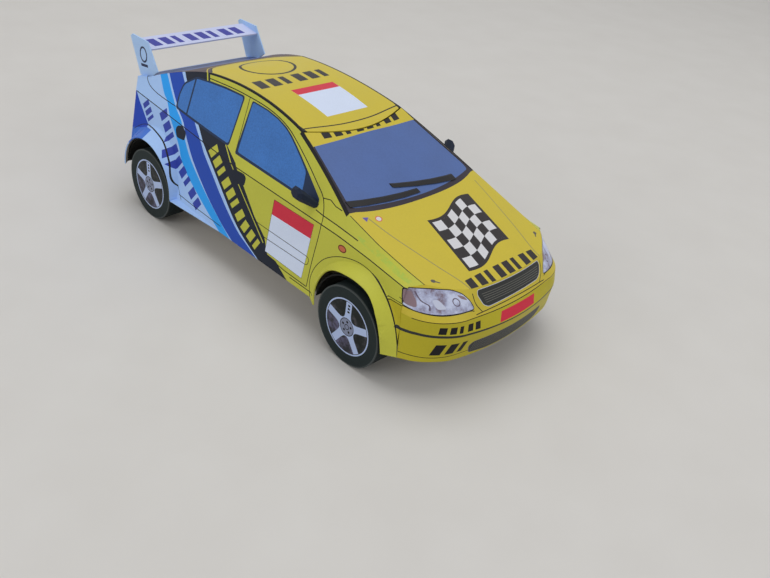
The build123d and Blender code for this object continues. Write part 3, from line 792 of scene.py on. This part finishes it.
# Bonnet: a crowned card between the wings, glued to them and to the windscreen. The seams, the two
# pins, a waving flag and a row of blocks above the grille are print.
mix({"seam_grey": (150, 140, 96), "pin_grey": (96, 92, 84), "flag_white": (222, 222, 226),
     "flag_black": (44, 40, 42), "sticker_violet": (104, 92, 168), "sticker_red": (214, 96, 84)})


def on_bonnet(x, y):
    return x, y, crown(x, y)


def bonnet_end(y):
    """Where the bonnet meets the nose."""
    return solve(lambda x: x - bent_x(nose_levels, y, max(crown(x, y), lip_z)), 68.0, 88.0)


def bonnet_start(y):
    """Where the bonnet meets the windscreen."""
    return on_screen(y, screen_foot(y) + under_bonnet)[0]


seam_ends = wing_end(1.0)[0]
end_half, start_half = station(front_stations, seam_ends, 4), 27.68
seam = [(x, station(front_stations, x, 4)) for x in np.arange(42.0, seam_ends - 0.5, 2.0).tolist()]
bonnet_outline = [
    *spanned(-start_half, lambda y: (bonnet_start(y), y)),
    *[(x, -y) for x, y in seam],
    *spanned(end_half, lambda y: (bonnet_end(y), y)),
    *seam[::-1],
]
inner_seam = flowing([
    (44.4, -23.7), (52.3, -22.3), (61.2, -20.2), (68.6, -18.3), (73.3, -16.9), (77.5, -16), (83.5, -15.6)])


def waving(u, v):
    """Place on a waving flag, from its pole to its free end and from foot to top."""
    wave = 1.5 * sin(u * 5.2 + 0.4)
    return 72.4 - 18.5 * v - 3.0 * u + wave, -10.0 + 21.0 * u + 3.0 * v


def flag_patch(u0, v0, u1, v1, count=6):
    """A patch of the flag with its edges following the waves."""
    low = [waving(u0 + (u1 - u0) * i / count, v0) for i in range(count + 1)]
    high = [waving(u0 + (u1 - u0) * i / count, v1) for i in range(count + 1)]
    return low + high[::-1]


flag = [("flag_black", flag_patch(-0.05, -0.06, 1.05, 1.06, 24)), ("flag_white", flag_patch(0, 0, 1, 1, 24))]
for column in range(6):
    for row in range(5):
        if (column + row) % 2:
            flag.append(("flag_black", flag_patch(column / 6, row / 5, (column + 1) / 6, (row + 1) / 5)))
pin = [
    (-0.9, 0), (-0.5, 0.5), (0.2, 0.55), (0.6, 0.2), (1.9, 0.15), (1.9, -0.2), (0.6, -0.25), (0.2, -0.6),
    (-0.5, -0.55)]
along, aside = 0.75, 0.66
bonnet_drawing = [
    line(inner_seam, 0.3, "seam_grey"),
    line([(x, -y) for x, y in inner_seam], 0.3, "seam_grey"),
    *inked("pin_grey", ([(x + along * u - aside * v, y + sign * (aside * u + along * v)) for u, v in pin]
                        for x, y, sign in ((71.4, -23.4, 1), (70.9, 23.6, -1)))),
    *flag,
    *inked("flag_black", word_blocks((80.2, -16.2), (80.2, 15.6), 4.4, 8, 0.6)),
    ("sticker_violet", [(43.2, -25.2), (45.2, -25), (44, -23.4)]),
    ("sticker_red", disc(45.9, -21.0, 1.1, 16)),
    ("flag_white", disc(45.9, -21.0, 0.8, 16)),
]
bonnet = printed_card("bonnet_card", bonnet_outline, bonnet_drawing, "sun_yellow", on_bonnet, (1.8, 1.8))
dress(bonnet, "bonnet")

# Nose: bumper, lamps and grille are printed on one card, bent round from wing to wing and glued
# to them and to the front edge of the bonnet.
mix({"lamp_print": (
    (0, (84, 66, 74)), (0.36, (130, 114, 128)), (0.47, (172, 176, 206)), (0.6, (206, 214, 242)),
    (1, (226, 232, 250)))}, clouds=260.0)
mix({"grille_pale": (112, 112, 106), "lamp_ring": (104, 92, 112), "lamp_white": (206, 212, 234)})


def on_nose(y, z):
    return bent_x(nose_levels, y, z), y, z


def nose_top(y):
    """Height at which the nose meets the bonnet or the top of the wing."""
    if abs(y) <= end_half:
        x = bonnet_end(y)
        return crown(x, y)
    share = solve(lambda s: -on_side(*wing_end(s))[1] - abs(y), 1.0, 0.0)
    return on_side(*wing_end(share))[2]


def nose_side(z):
    return station(nose_levels, z, 2)


chin_half, chin_z = 27.0, 10.5


def nose_foot(y):
    """Height of the foot of the bumper, which curves down to the chin."""
    _, oy, r = circle((-chin_half, foot_z), (0.0, chin_z), (chin_half, foot_z))
    return oy - sqrt(r * r - y * y) if abs(y) < chin_half else foot_z


tops = [-30.6, -29.8, -28.8, -27.6, *np.arange(-26, 27, 2.0).tolist(), 27.6, 28.8, 29.8, 30.6]
nose_outline = [
    (-nose_side(foot_z), foot_z),
    *[(y, nose_foot(y)) for y in np.arange(-32, 33, 2.0).tolist()],
    (nose_side(foot_z), foot_z),
    *[(nose_side(z), z) for z in (17.0, 21.5, 25.7, 29.0)],
    *[(-y, nose_top(y)) for y in tops],
    *[(-nose_side(z), z) for z in (29.0, 25.7, 21.5, 17.0)],
]
lamp = [
    (-31.5, 28), (-31.5, 30.2), (-31.2, 32), (-30, 32.8), (-27.8, 33), (-25.7, 33.1), (-20.9, 32.9),
    (-18.7, 32), (-17, 30), (-16.1, 27.8), (-21.7, 27.7), (-26.6, 27.5), (-30.2, 27.5)]
lamp = rounded(lamp, 0.6, 3)
lamp_foot = flowing([
    (-34.2, 28.9), (-32.9, 28.3), (-31, 27.5), (-26.6, 27.3), (-21.7, 27.5), (-18, 27.6), (-16.2, 27.2)])
grille = rounded([
    (-13.6, 32), (14.2, 32), (14.8, 30.8), (14, 28.6), (12.4, 27.5), (-10.6, 27), (-12.4, 27.9),
    (-13.9, 30.8)], 0.8)
mouth = rounded([
    (-15.6, 12.7), (-16.8, 15.8), (-15.6, 17.1), (0, 17), (15.6, 17.1), (16.8, 15.8), (15.6, 12.5), (8, 11.4),
    (0, 11.1), (-8, 11.4)], 1.0)


def handed(sign, points):
    """Points drawn for the right side, or their mirror images."""
    return [(sign * y, z) for y, z in points]


nose_drawing = [
    ("bumper_yellow", [(-40, 5), (40, 5), (40, 25.4), (20, 25.2), (0, 25.1), (-20, 25.6), (-40, 25.4)]),
]
for sign in (1, -1):
    own = handed(sign, lamp)
    nose_drawing += [
        line(handed(sign, lamp_foot), 0.25),
        *inked("line_black", ring(own, 0.45)),
        ("lamp_print", own),
        ("lamp_ring", disc(sign * -20.9, 30.2, 1.0, 20)),
        ("lamp_print", disc(sign * -20.9, 30.2, 0.75, 20)),
        ("lamp_brown", rounded(handed(sign, [
            (-31.2, 28.3), (-31.1, 31.6), (-29.6, 32.3), (-29.2, 30.0), (-29.8, 28.2)]), 0.9)),
        ("lamp_brown", rounded(handed(sign, [
            (-20.2, 31.9), (-18.4, 31.4), (-17.6, 30.3), (-19.4, 30.9)]), 0.5)),
        ("lamp_white", rounded(handed(sign, [
            (-26.4, 30.6), (-25.0, 30.9), (-23.8, 28.8), (-26.2, 28.6)]), 0.7)),
        line(flowing(handed(sign, [
            (-28.9, 32.2), (-28.5, 30.2), (-27.4, 29.3), (-27.8, 28.2)])), 0.3, "lamp_ring"),
        line(flowing(handed(sign, [(-15.6, 31.6), (-15.2, 28.8), (-13.4, 26.3)])), 0.25),
        line(flowing(handed(sign, [
            (-31.2, 25.4), (-27.5, 25.6), (-20.7, 25.6), (-9.0, 25.2), (0, 25.1)])), 0.22),
        line(handed(sign, [(-33.8, 14.4), (-29.6, 14.0), (-23.8, 13.9), (-16.0, 13.8)]), 0.22),
    ]
nose_drawing += [
    line([(-15.8, 26.1), (-12.9, 26.2), (0, 26.3), (12.9, 26.2), (15.8, 26.1)], 0.25),
    *inked("lamp_white", ring(grille, 0.3)),
    ("grille_dark", grille),
    *[line([(-12.4 + 0.3 * i, 30.7 - 0.62 * i), (13.6 - 0.15 * i, 30.7 - 0.62 * i)], 0.16, "grille_pale")
      for i in range(5)],
    ("header_red", [(-7.5, 21.7), (8.6, 21.9), (9.9, 24.3), (-6, 24.3)]),
    line([
        (-33, 20.9), (-30.9, 21.3), (-26, 21.4), (-20, 21.2), (0, 21.1), (20, 21.2), (26, 21.4), (30.9, 21.3),
        (33, 20.9)], 0.8, "grille_dark"),
    *inked("lamp_ring", ring(mouth, 0.4)),
    ("grille_dark", mouth),
    *[line([(y - 0.1, 11.8 + y * y / 180), (y + 0.15, 16.8)], 0.16, "grille_pale")
      for y in np.arange(-15.0, 15.2, 0.8).tolist()],
    *inked("line_black", word_blocks((-27.6, 22.2), (-14.4, 22.1), 2.1, 5, 0.4)),
    *inked("line_black", word_blocks((-29, 14.9), (-17.6, 14.8), 3.7, 3, 1.2)),
]
nose = printed_card("nose_card", nose_outline, nose_drawing, "sun_yellow", on_nose, (0.8, 1), sharp=13.0)
dress(nose, "nose")

# Roof: a printed card bent to the roof line, glued by its long edges between the two sides. Its ring,
# blocks and panel are ink, and the panel is blank.
def roof_end(y):
    return on_screen(y, screen_head(y) + under_roof)[0]


roof_sides = np.arange(-40.0, 10.0, 2.5).tolist()
rear_half = cabin_half(*roof_rear)
roof_outline = [
    (roof_rear[0], -rear_half),
    *[(x, -cabin_half(x, roof_height(x))) for x in roof_sides],
    *spanned(head_half, lambda y: (roof_end(y), y)),
    *[(x, cabin_half(x, roof_height(x))) for x in roof_sides[::-1]],
    (roof_rear[0], rear_half),
]
roof_panel = [(-12.6, -7.8), (6.4, -8), (6.5, 9.4), (-12.4, 10.2)]
roof_trim = [
    (-42, cabin_half(-42, 56.7) - 0.5), *[(x, cabin_half(x, roof_height(x)) - 0.4) for x in roof_sides],
    (13, 19.6), (13, 26), (-42, 26)]
roof_ring = ring(disc(-36.0, 0.6, 9.6, 48), 1.0)
roof_drawing = [
    ("line_black", roof_trim),
    ("line_black", [(x, -y) for x, y in roof_trim]),
    line(flowing([(9.2, -22), (9.6, -18), (11.2, -8), (11.6, 0), (11.2, 8), (9.6, 18), (9.2, 22)]), 0.5),
    *inked("line_black", roof_ring),
    *inked("flag_black", word_blocks((-17.4, -16.6), (-17.4, 15.6), 6.6, 6, 0.6)),
    line(roof_panel + roof_panel[:1], 0.3),
    ("panel_white", roof_panel),
    ("header_red", [(-12.6, -7.8), (-8.7, -7.8), (-8.5, 10), (-12.4, 10.2)]),
]
roof = printed_card(
    "roof_card", roof_outline, roof_drawing, "sun_yellow", lambda x, y: (x, y, roof_height(x)), (2, 3))
dress(roof, "roof")

# Rear window: a card bent on from the roof down to the shelf. A brown panel with a thin yellow
# stripe and the glass behind it are print.
def rear_height(x):
    return on_circle(roof_rear, rear_glass_mid, rear_glass_foot, x)


mix({"rear_glass": (86, 106, 156)}, mottling=0.14, specks=0.1)
rear_sides = np.linspace(roof_rear[0], rear_glass_foot[0], 15).tolist()
rear_edge = [(x, cabin_half(x, rear_height(x))) for x in rear_sides]
rear_outline = [(x, -y) for x, y in rear_edge] + rear_edge[::-1]
roof_corner = [(-39.6, -20.6), (-41.2, -19.4), (-45.6, -16.6), (-49.5, -13.3), (-51.6, -8), (-52.3, 0)]
roof_back = flowing(roof_corner + [(x, -y) for x, y in roof_corner[-2::-1]])
glass_front = [(-56.6, -18.8), (-57, -10), (-57.2, 0), (-57, 10), (-56.6, 18.8)]
rear_card = printed_card("rear_window_card", rear_outline, [
    ("line_black", roof_back + [(-38, 20.6), (-38, -20.6)]),
    ("sun_yellow", [(x + 0.4, y * 0.98) for x, y in roof_back] + [(-38, 20.2), (-38, -20.2)]),
    line([(x - 0.9, y * 1.05) for x, y in roof_back], 0.4, "sun_yellow"),
    *inked("line_black", roof_ring),
    ("rear_glass", rounded(glass_front + [(-68.8, 20.8), (-69.4, 0), (-68.8, -20.8)], 1.5)),
], "roof_brown", lambda x, y: (x, y, rear_height(x)), (2, 3))
dress(rear_card, "rear_window")

# Shelf: the narrow printed card between the foot of the rear window and the tail. It is glued to both
# and to the sides, and carries the wing.
tail_levels = (     # the same columns as the nose's
    (14.6, -75.6, 33.5, -77.6, 29.8, -79.4, 22.0, -80.6),
    (24.0, -75.6, 31.7, -78.4, 29.0, -80.8, 21.0, -82.0),
    (34.0, -75.6, 29.9, -77.4, 27.6, -78.8, 20.0, -79.8),
    (41.0, -75.9, 28.7, -77.3, 26.3, -78.4, 19.0, -79.2),
    (48.0, -79.4, 25.0, -80.3, 22.5, -80.9, 16.0, -81.3),
)


def shelf_height(x):
    return float(np.interp(x, (2 * tail_top[0] - rear_glass_foot[0], rear_glass_foot[0]),
                           (2 * tail_top[1] - rear_glass_foot[1], rear_glass_foot[1])))


def shelf_end(y):
    """Where the shelf reaches the face of the tail."""
    return solve(lambda x: x - bent_x(tail_levels, y, shelf_height(x)), -83.0, -75.0)


front_half, back_half = cabin_half(*rear_glass_foot), 26.3
shelf_outline = [
    (rear_glass_foot[0], front_half),
    *spanned(back_half, lambda y: (shelf_end(y), y))[::-1],
    (rear_glass_foot[0], -front_half),
]
shelf = printed_card("shelf_card", shelf_outline, [
    ("rear_glass", [(-72.4, -26), (-79, -21.5), (-79, 21.5), (-72.4, 26)]),
    ("seam_grey", [(-72.4, -30), (-72.1, -30), (-72.1, 30), (-72.4, 30)]),
], "print_white", lambda x, y: (x, y, shelf_height(x)), (2, 3))
dress(shelf, "shelf")

# Tail: tailgate, lamps, blank plate and bumper are printed on one card, bent round from side to side
# and glued to them and under the shelf.
mix({"lamp_red": (176, 44, 40), "seam_blue": (20, 30, 66)})


def tail_side(z):
    return station(tail_levels, z, 2)


def tail_head(y):
    """Height at which the tail meets the underside of the shelf."""
    return solve(lambda z: z - shelf_height(bent_x(tail_levels, y, z)) + card, 42.0, 47.0)


tail_half = 26.6
tail_rows = (14.6, 19.0, 24.0, 29.0, 34.0, 37.5, 41.0, 43.0)
tail_outline = [
    *[(y, 14.6) for y in np.arange(-32, 33, 2.0).tolist()],
    *[(tail_side(z), z) for z in tail_rows],
    *spanned(tail_half, lambda y: (-y, tail_head(y))),
    *[(-tail_side(z), z) for z in tail_rows[::-1]],
]
tailgate = rounded([(-24.5, 21.6), (24.5, 21.6), (22.5, 41.4), (-22.5, 41.4)], 2.0)
tail_drawing = [
    ("deep_blue", [(-40, 19.8), (40, 19.8), (40, 40.7), (-40, 40.7)]),
    *inked("seam_blue", ring(tailgate, 0.26)),
    ("pale_blue_and_lit_flare", [(-40, 20), (40, 20), (40, 21.3), (-40, 21.3)]),
    line([(-40, 19.8), (40, 19.8)], 0.25),
]
for sign in (1, -1):
    tail_lamp = rounded(handed(sign, [(20.0, 29.6), (31.6, 29.0), (30.0, 37.0), (20.6, 37.0)]), 1.0)
    tail_drawing += [
        ("lamp_red", tail_lamp),
        ("marker_orange", rounded(handed(sign, [
            (20.9, 34.4), (29.8, 34.4), (29.4, 36.2), (21.2, 36.2)]), 0.5)),
        *inked("line_black", ring(tail_lamp, 0.3)),
        line(handed(sign, [(21.2, 33.9), (30.4, 33.8)]), 0.25, "seam_blue"),
    ]
tail_plate = [(-7.5, 23.6), (7.5, 23.6), (7.5, 27.6), (-7.5, 27.6)]
tail_drawing += [
    line(tail_plate + tail_plate[:1], 0.4),
    ("panel_white", tail_plate),
    ("seam_blue", rounded([(-2.4, 29), (2.4, 29), (2, 30.6), (-2, 30.6)], 0.5)),
]
tail = printed_card(
    "tail_card", tail_outline, tail_drawing, "print_white",
    lambda y, z: (bent_x(tail_levels, y, z), y, z), (1, 1.2), flip=True, sharp=13.0)
dress(tail, "tail")

# Rear wing: two printed end plates of doubled card glued upright on the shelf, and a flat printed
# plane glued between them.
mix({"plate_lilac": (178, 212, 255), "plate_mark": (38, 48, 84), "plane_white": (204, 212, 246),
     "plane_block": (58, 62, 160)})
plate_y, plate_card = 23.6, 0.5
plate_outline = [(-80.2, 44.7), (-71.4, 46.8), (-68.1, 49.3), (-74.2, 58.6), (-84.6, 58.6), (-85.85, 57.6)]
plate_drawing = [
    *inked("plate_mark", ring(disc(-77.4, 53.0, 2.2, 28, 2.6), 0.7)),
    ("plate_mark", [(-79.2, 48.3), (-74.6, 48.9), (-74.8, 49.9), (-79.5, 49.3)]),
]
for hand, sign in (("right", -1), ("left", 1)):
    plate = printed_card(
        f"wing_plate_{hand}_card", plate_outline, plate_drawing, "plate_lilac",
        lambda x, z, sign=sign: (x, sign * (plate_y + plate_card), z), (2, 2),
        flip=sign > 0, thick=plate_card, back="plate_lilac")
    dress(plate, f"wing_plate_{hand}")
plane_front, plane_rear = (-73.2, 56), (-83, 57.3)
plane_outline = [(plane_rear[0], -plate_y), (plane_front[0], -plate_y),
                 (plane_front[0], plate_y), (plane_rear[0], plate_y)]
plane_blocks = inked("plane_block", word_blocks((-80.9, -22), (-80.9, 19.4), -5.8, 8, 0.9))


def on_plane(x, y):
    run, rise = plane_rear[0] - plane_front[0], plane_rear[1] - plane_front[1]
    return x, y, plane_front[1] + (x - plane_front[0]) * rise / run


plane = printed_card("wing_plane_card", plane_outline, plane_blocks, "plane_white", on_plane, (2, 3),
                     thick=plate_card, back="plane_white")
dress(plane, "wing_plane")

# Wheels: discs of black card stacked on a hub rolled from a strip of card, faced with one printed
# disc. The stacks are glued to the ends of the axles and turn with them.
mix({"tyre_black": (26, 37, 38)}, mottling=0.25, specks=0.12, gloss=0.6, relief=0.3)
# a paler ring round the outer edge of each tyre's face: a painted highlight along the rounded edge
mix({"tyre_edge_highlight": (70, 76, 76)}, mottling=0.3, specks=0.2, gloss=0.7, relief=0.4)
mix({"rim_white": (182, 200, 238), "rim_grey": (134, 142, 168)})
mix({
    "gap_black": ((0, (8, 12, 12)), (0.45, (16, 22, 22)), (0.56, (38, 42, 44)), (0.68, (74, 70, 76)),
                  (1, (100, 92, 104))),
    "gap_brown": ((0, (18, 24, 26)), (0.4, (42, 44, 52)), (0.5, (70, 68, 84)), (0.62, (96, 94, 126)),
                  (1, (132, 134, 166))),
}, clouds=420.0)
wheel_r, hub_r, bore_r, axle_z = 13.0, 3.2, 1.25, 13.0
wheel_face_y, drum_y, hub_y = 36.5, 28.0, 22.6
discs = 20

stack = bpy.data.node_groups.new("stacked_discs", "GeometryNodeTree")
stack.interface.new_socket("Hub", in_out="INPUT", socket_type="NodeSocketGeometry")
for name, kind, start in (
    ("Discs", "NodeSocketInt", discs), ("Seed", "NodeSocketInt", 5),
    ("Radius", "NodeSocketFloat", wheel_r * MM), ("Bore", "NodeSocketFloat", bore_r * MM),
    ("Thickness", "NodeSocketFloat", 0.385 * MM), ("Unevenness", "NodeSocketFloat", 0.007),
    ("First", "NodeSocketVector", (0, 0, 0)), ("Step", "NodeSocketVector", (0, 0, 0)),
):
    stack.interface.new_socket(name, in_out="INPUT", socket_type=kind).default_value = start
stack.interface.new_socket("Card", in_out="INPUT", socket_type="NodeSocketMaterial")
stack.interface.new_socket("Wheel", in_out="OUTPUT", socket_type="NodeSocketGeometry")
asked = node(stack, "NodeGroupInput").outputs
middle = reckon(stack, "MULTIPLY", reckon(stack, "ADD", asked["Radius"], asked["Bore"]), 0.5)
breadth = reckon(stack, "SUBTRACT", asked["Radius"], asked["Bore"])
path = node(stack, "GeometryNodeCurvePrimitiveCircle", {"Resolution": 72, "Radius": middle})
upright = node(stack, "GeometryNodeSetCurveNormal", {"Curve": path.outputs["Curve"]}, mode="Z_UP")
profile = node(stack, "GeometryNodeCurvePrimitiveQuadrilateral", {
    "Width": breadth, "Height": asked["Thickness"]})
flat_disc = node(stack, "GeometryNodeCurveToMesh", {
    "Curve": upright.outputs["Curve"], "Profile Curve": profile.outputs["Curve"]})
turned_disc = node(stack, "GeometryNodeTransform", {
    "Geometry": flat_disc.outputs["Mesh"], "Rotation": (pi / 2, 0, 0)})
places = node(stack, "GeometryNodeMeshLine", {
    "Count": asked["Discs"], "Start Location": asked["First"], "Offset": asked["Step"]}, mode="OFFSET")
least = reckon(stack, "SUBTRACT", 1.0, asked["Unevenness"])
uneven = node(stack, "FunctionNodeRandomValue", {2: least, 3: 1.0, "Seed": asked["Seed"]}, data_type="FLOAT")
scale = node(stack, "ShaderNodeCombineXYZ", {"X": uneven.outputs[1], "Y": 1.0, "Z": uneven.outputs[1]})
copies = node(stack, "GeometryNodeInstanceOnPoints", {
    "Points": places.outputs["Mesh"], "Instance": turned_disc.outputs["Geometry"],
    "Scale": scale.outputs["Vector"]})
solid = node(stack, "GeometryNodeRealizeInstances", {"Geometry": copies.outputs["Instances"]})
blackened = node(stack, "GeometryNodeSetMaterial", {
    "Geometry": solid.outputs["Geometry"], "Material": asked["Card"]})
joined = node(stack, "GeometryNodeJoinGeometry")
stack.links.new(blackened.outputs["Geometry"], joined.inputs[0])
stack.links.new(asked["Hub"], joined.inputs[0])
node(stack, "NodeGroupOutput", {"Wheel": joined.outputs["Geometry"]})
socket_ids = {item.name: item.identifier for item in stack.interface.items_tree if item.in_out == "INPUT"}


def rolled_strip(name, x, y0, y1, inner, outer, strip=0.36, pitch=0.4, steps=28):
    """A strip of card rolled up round an axle, as a closed mesh."""
    count = int((outer - inner - strip) / pitch * steps) + 1
    points, faces = [], []
    for i in range(count):
        a, r = 2 * pi * i / steps, inner + pitch * i / steps
        for reach, y in ((r, y0), (r + strip, y0), (r + strip, y1), (r, y1)):
            points.append(((x + reach * cos(a)) * MM, y * MM, (axle_z + reach * sin(a)) * MM))
        if i:
            a, b = 4 * i - 4, 4 * i
            faces += [(a + j, a + (j + 1) % 4, b + (j + 1) % 4, b + j) for j in range(4)]
    faces += [(3, 2, 1, 0), tuple(4 * count - 4 + j for j in range(4))]
    if y1 < y0:
        faces = [face[::-1] for face in faces]
    mesh = bpy.data.meshes.new(name)
    mesh.from_pydata(points, [], faces)
    return mesh


def wheel_drawing(turn):
    """Print on a wheel: a tyre with a painted highlight round its edge, a white rim and five spokes, with the
    brakes showing dark between them.
    """
    rim_r, spoke_half, bolts_r = 8.6, 1.2, 1.75
    shapes = [
        # the painted highlight round the tyre's outer edge, then the black tyre
        ("tyre_edge_highlight", disc(0, 0, 12.75, 72)), ("tyre_black", disc(0, 0, 12.55, 72)),
        ("rim_white", disc(0, 0, 9.25, 60)), ("line_black", disc(0, 0, 8.8, 60)),
        ("rim_white", disc(0, 0, rim_r, 60)),
    ]
    edge = asin(spoke_half / rim_r)
    for i in range(5):
        a, b = radians(turn + 72 * i), radians(turn + 72 * i + 72)
        apex = Vector((cos((a + b) / 2), sin((a + b) / 2))) * spoke_half / sin(radians(36))
        start, end = apex + Vector((cos(b), sin(b))) * 3.0, apex + Vector((cos(a), sin(a))) * 3.0
        inner = [tuple(start * (1 - t) ** 2 + apex * 2 * t * (1 - t) + end * t * t)
                 for t in (0, 0.2, 0.4, 0.6, 0.8, 1.0)]
        turns = [a + edge + (b - a - 2 * edge) * j / 12 for j in range(13)]
        rim = [(rim_r * cos(t), rim_r * sin(t)) for t in turns]
        dark = sin((a + b) / 2) > 0.2 or cos((a + b) / 2) > 0.6
        shapes += [("gap_black" if dark else "gap_brown", rim + inner)]
    along = Vector((cos(radians(turn + 72)), sin(radians(turn + 72))))
    side = Vector((-along.y, along.x))
    for j in range(3):
        near, far = along * (5.0 + 1.1 * j), along * (5.7 + 1.1 * j)
        corners = near - side * 0.5, far - side * 0.5, far + side * 0.4, near + side * 0.4
        shapes.append(("gap_black", [tuple(corner) for corner in corners]))
    shapes += [("gap_black", disc(0, 0, 3.0, 36)), ("rim_grey", disc(0, 0, 2.75, 36))]
    for i in range(5):
        a = radians(turn + 72 * i)
        shapes.append(("line_black", disc(bolts_r * cos(a), bolts_r * sin(a), 0.44, 12)))
    return shapes + [("line_black", disc(0, 0, 0.95, 20)), ("rim_grey", disc(0, 0, 0.7, 16))]


for end, axle_x, turn, seed in (("front", 52.65, 17.0, 5), ("rear", -55.95, 20.0, 11)):
    for hand, sign in (("right", -1), ("left", 1)):
        hub = rolled_strip("hub", axle_x, sign * hub_y, sign * drum_y, bore_r, hub_r)
        hub.materials.append(inks["bare_card"])
        rough = placed("stack", hub)
        modifier = rough.modifiers.new("discs", "NODES")
        modifier.node_group = stack
        pitch = (wheel_face_y - card - drum_y) / discs
        modifier[socket_ids["First"]] = (axle_x * MM, sign * (drum_y + pitch / 2) * MM, axle_z * MM)
        modifier[socket_ids["Step"]] = (0.0, sign * pitch * MM, 0.0)
        modifier[socket_ids["Card"]] = inks["tyre_black"]
        modifier[socket_ids["Seed"]] = seed
        made = bpy.data.meshes.new_from_object(rough.evaluated_get(bpy.context.evaluated_depsgraph_get()))
        bpy.data.objects.remove(rough)
        drum = placed(f"wheel_stack_{end}_{hand}", made)
        dress(drum, f"wheel_drum_{end}_{hand}", f"{end}_axle")
        # the face's base ink is the painted highlight round the tyre's edge
        face = printed_card(
            f"wheel_print_{end}_{hand}", disc(0, 0, wheel_r, 72), wheel_drawing(turn), "tyre_edge_highlight",
            lambda u, v, x=axle_x, sign=sign: (x + u, sign * wheel_face_y, axle_z + v),
            (1.6, 1.6), flip=sign > 0, back="tyre_black")
        dress(face, f"wheel_face_{end}_{hand}", f"{end}_axle")

# Axles: round wooden sticks, one across the car for each pair of wheels. They turn in their tubes and
# are glued into the stacks at both ends.
wood, tree = empty_material("stick_wood")
place = node(tree, "ShaderNodeTexCoord").outputs["Object"]
along = node(tree, "ShaderNodeMapping", {"Vector": place, "Scale": (9.0, 0.6, 9.0)})
grain = node(tree, "ShaderNodeTexNoise", {
    "Vector": along.outputs["Vector"], "Scale": 260.0, "Detail": 6.0, "Distortion": 0.4})
tones = node(tree, "ShaderNodeValToRGB", {"Fac": grain.outputs["Fac"]})
tones.color_ramp.elements[0].color = linear((150, 108, 62))
tones.color_ramp.elements[1].color = linear((222, 186, 130))
bump = node(tree, "ShaderNodeBump", {"Height": grain.outputs["Fac"], "Strength": 0.3, "Distance": 0.0001})
shader = node(tree, "ShaderNodeBsdfPrincipled", {
    "Base Color": tones.outputs["Color"], "Roughness": 0.7, "Normal": bump.outputs["Normal"]})
node(tree, "ShaderNodeOutputMaterial", {"Surface": shader.outputs["BSDF"]})


def ink_node(name, material):
    """Gives a part that is kept from the model its material."""
    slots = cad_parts[name].data.materials
    slots.clear()
    slots.append(material)


for end in ("front", "rear"):
    ink_node(f"axle_{end}", wood)

# Axle tubes: strips of bare card rolled into tubes, in which the sticks turn. They are glued under the
# floor, between the arch boxes.
for end in ("front", "rear"):
    ink_node(f"axle_tube_{end}", inks["bare_card"])

# Arch boxes: strips of black card bent over each wheel and closed on the inner side, glued behind the
# openings of the sides.
mix({"black_card": (14, 15, 13)}, mottling=0.2, specks=0.1, gloss=0.75, relief=0.4)
for end in ("front", "rear"):
    for hand in ("right", "left"):
        ink_node(f"arch_box_{end}_{hand}", inks["black_card"])

# Floor: a flat sheet of bare card, cut out round the arch boxes and glued by its edges between the
# two sides.
ink_node("floor", inks["bare_card"])

# Mirrors: small boxes folded from dark card, glued to the doors beside the foot of the windscreen, one
# on each side.
mix({"mirror_card": (28, 38, 58)}, mottling=0.15, specks=0.1, gloss=0.5, relief=0.3)
for hand in ("right", "left"):
    ink_node(f"mirror_{hand}", inks["mirror_card"])

# Wipers: two thin strips cut from black card, lying on the windscreen and glued down at their feet
# beside the bonnet.
for name in ("wiper_near", "wiper_far"):
    ink_node(name, inks["line_black"])
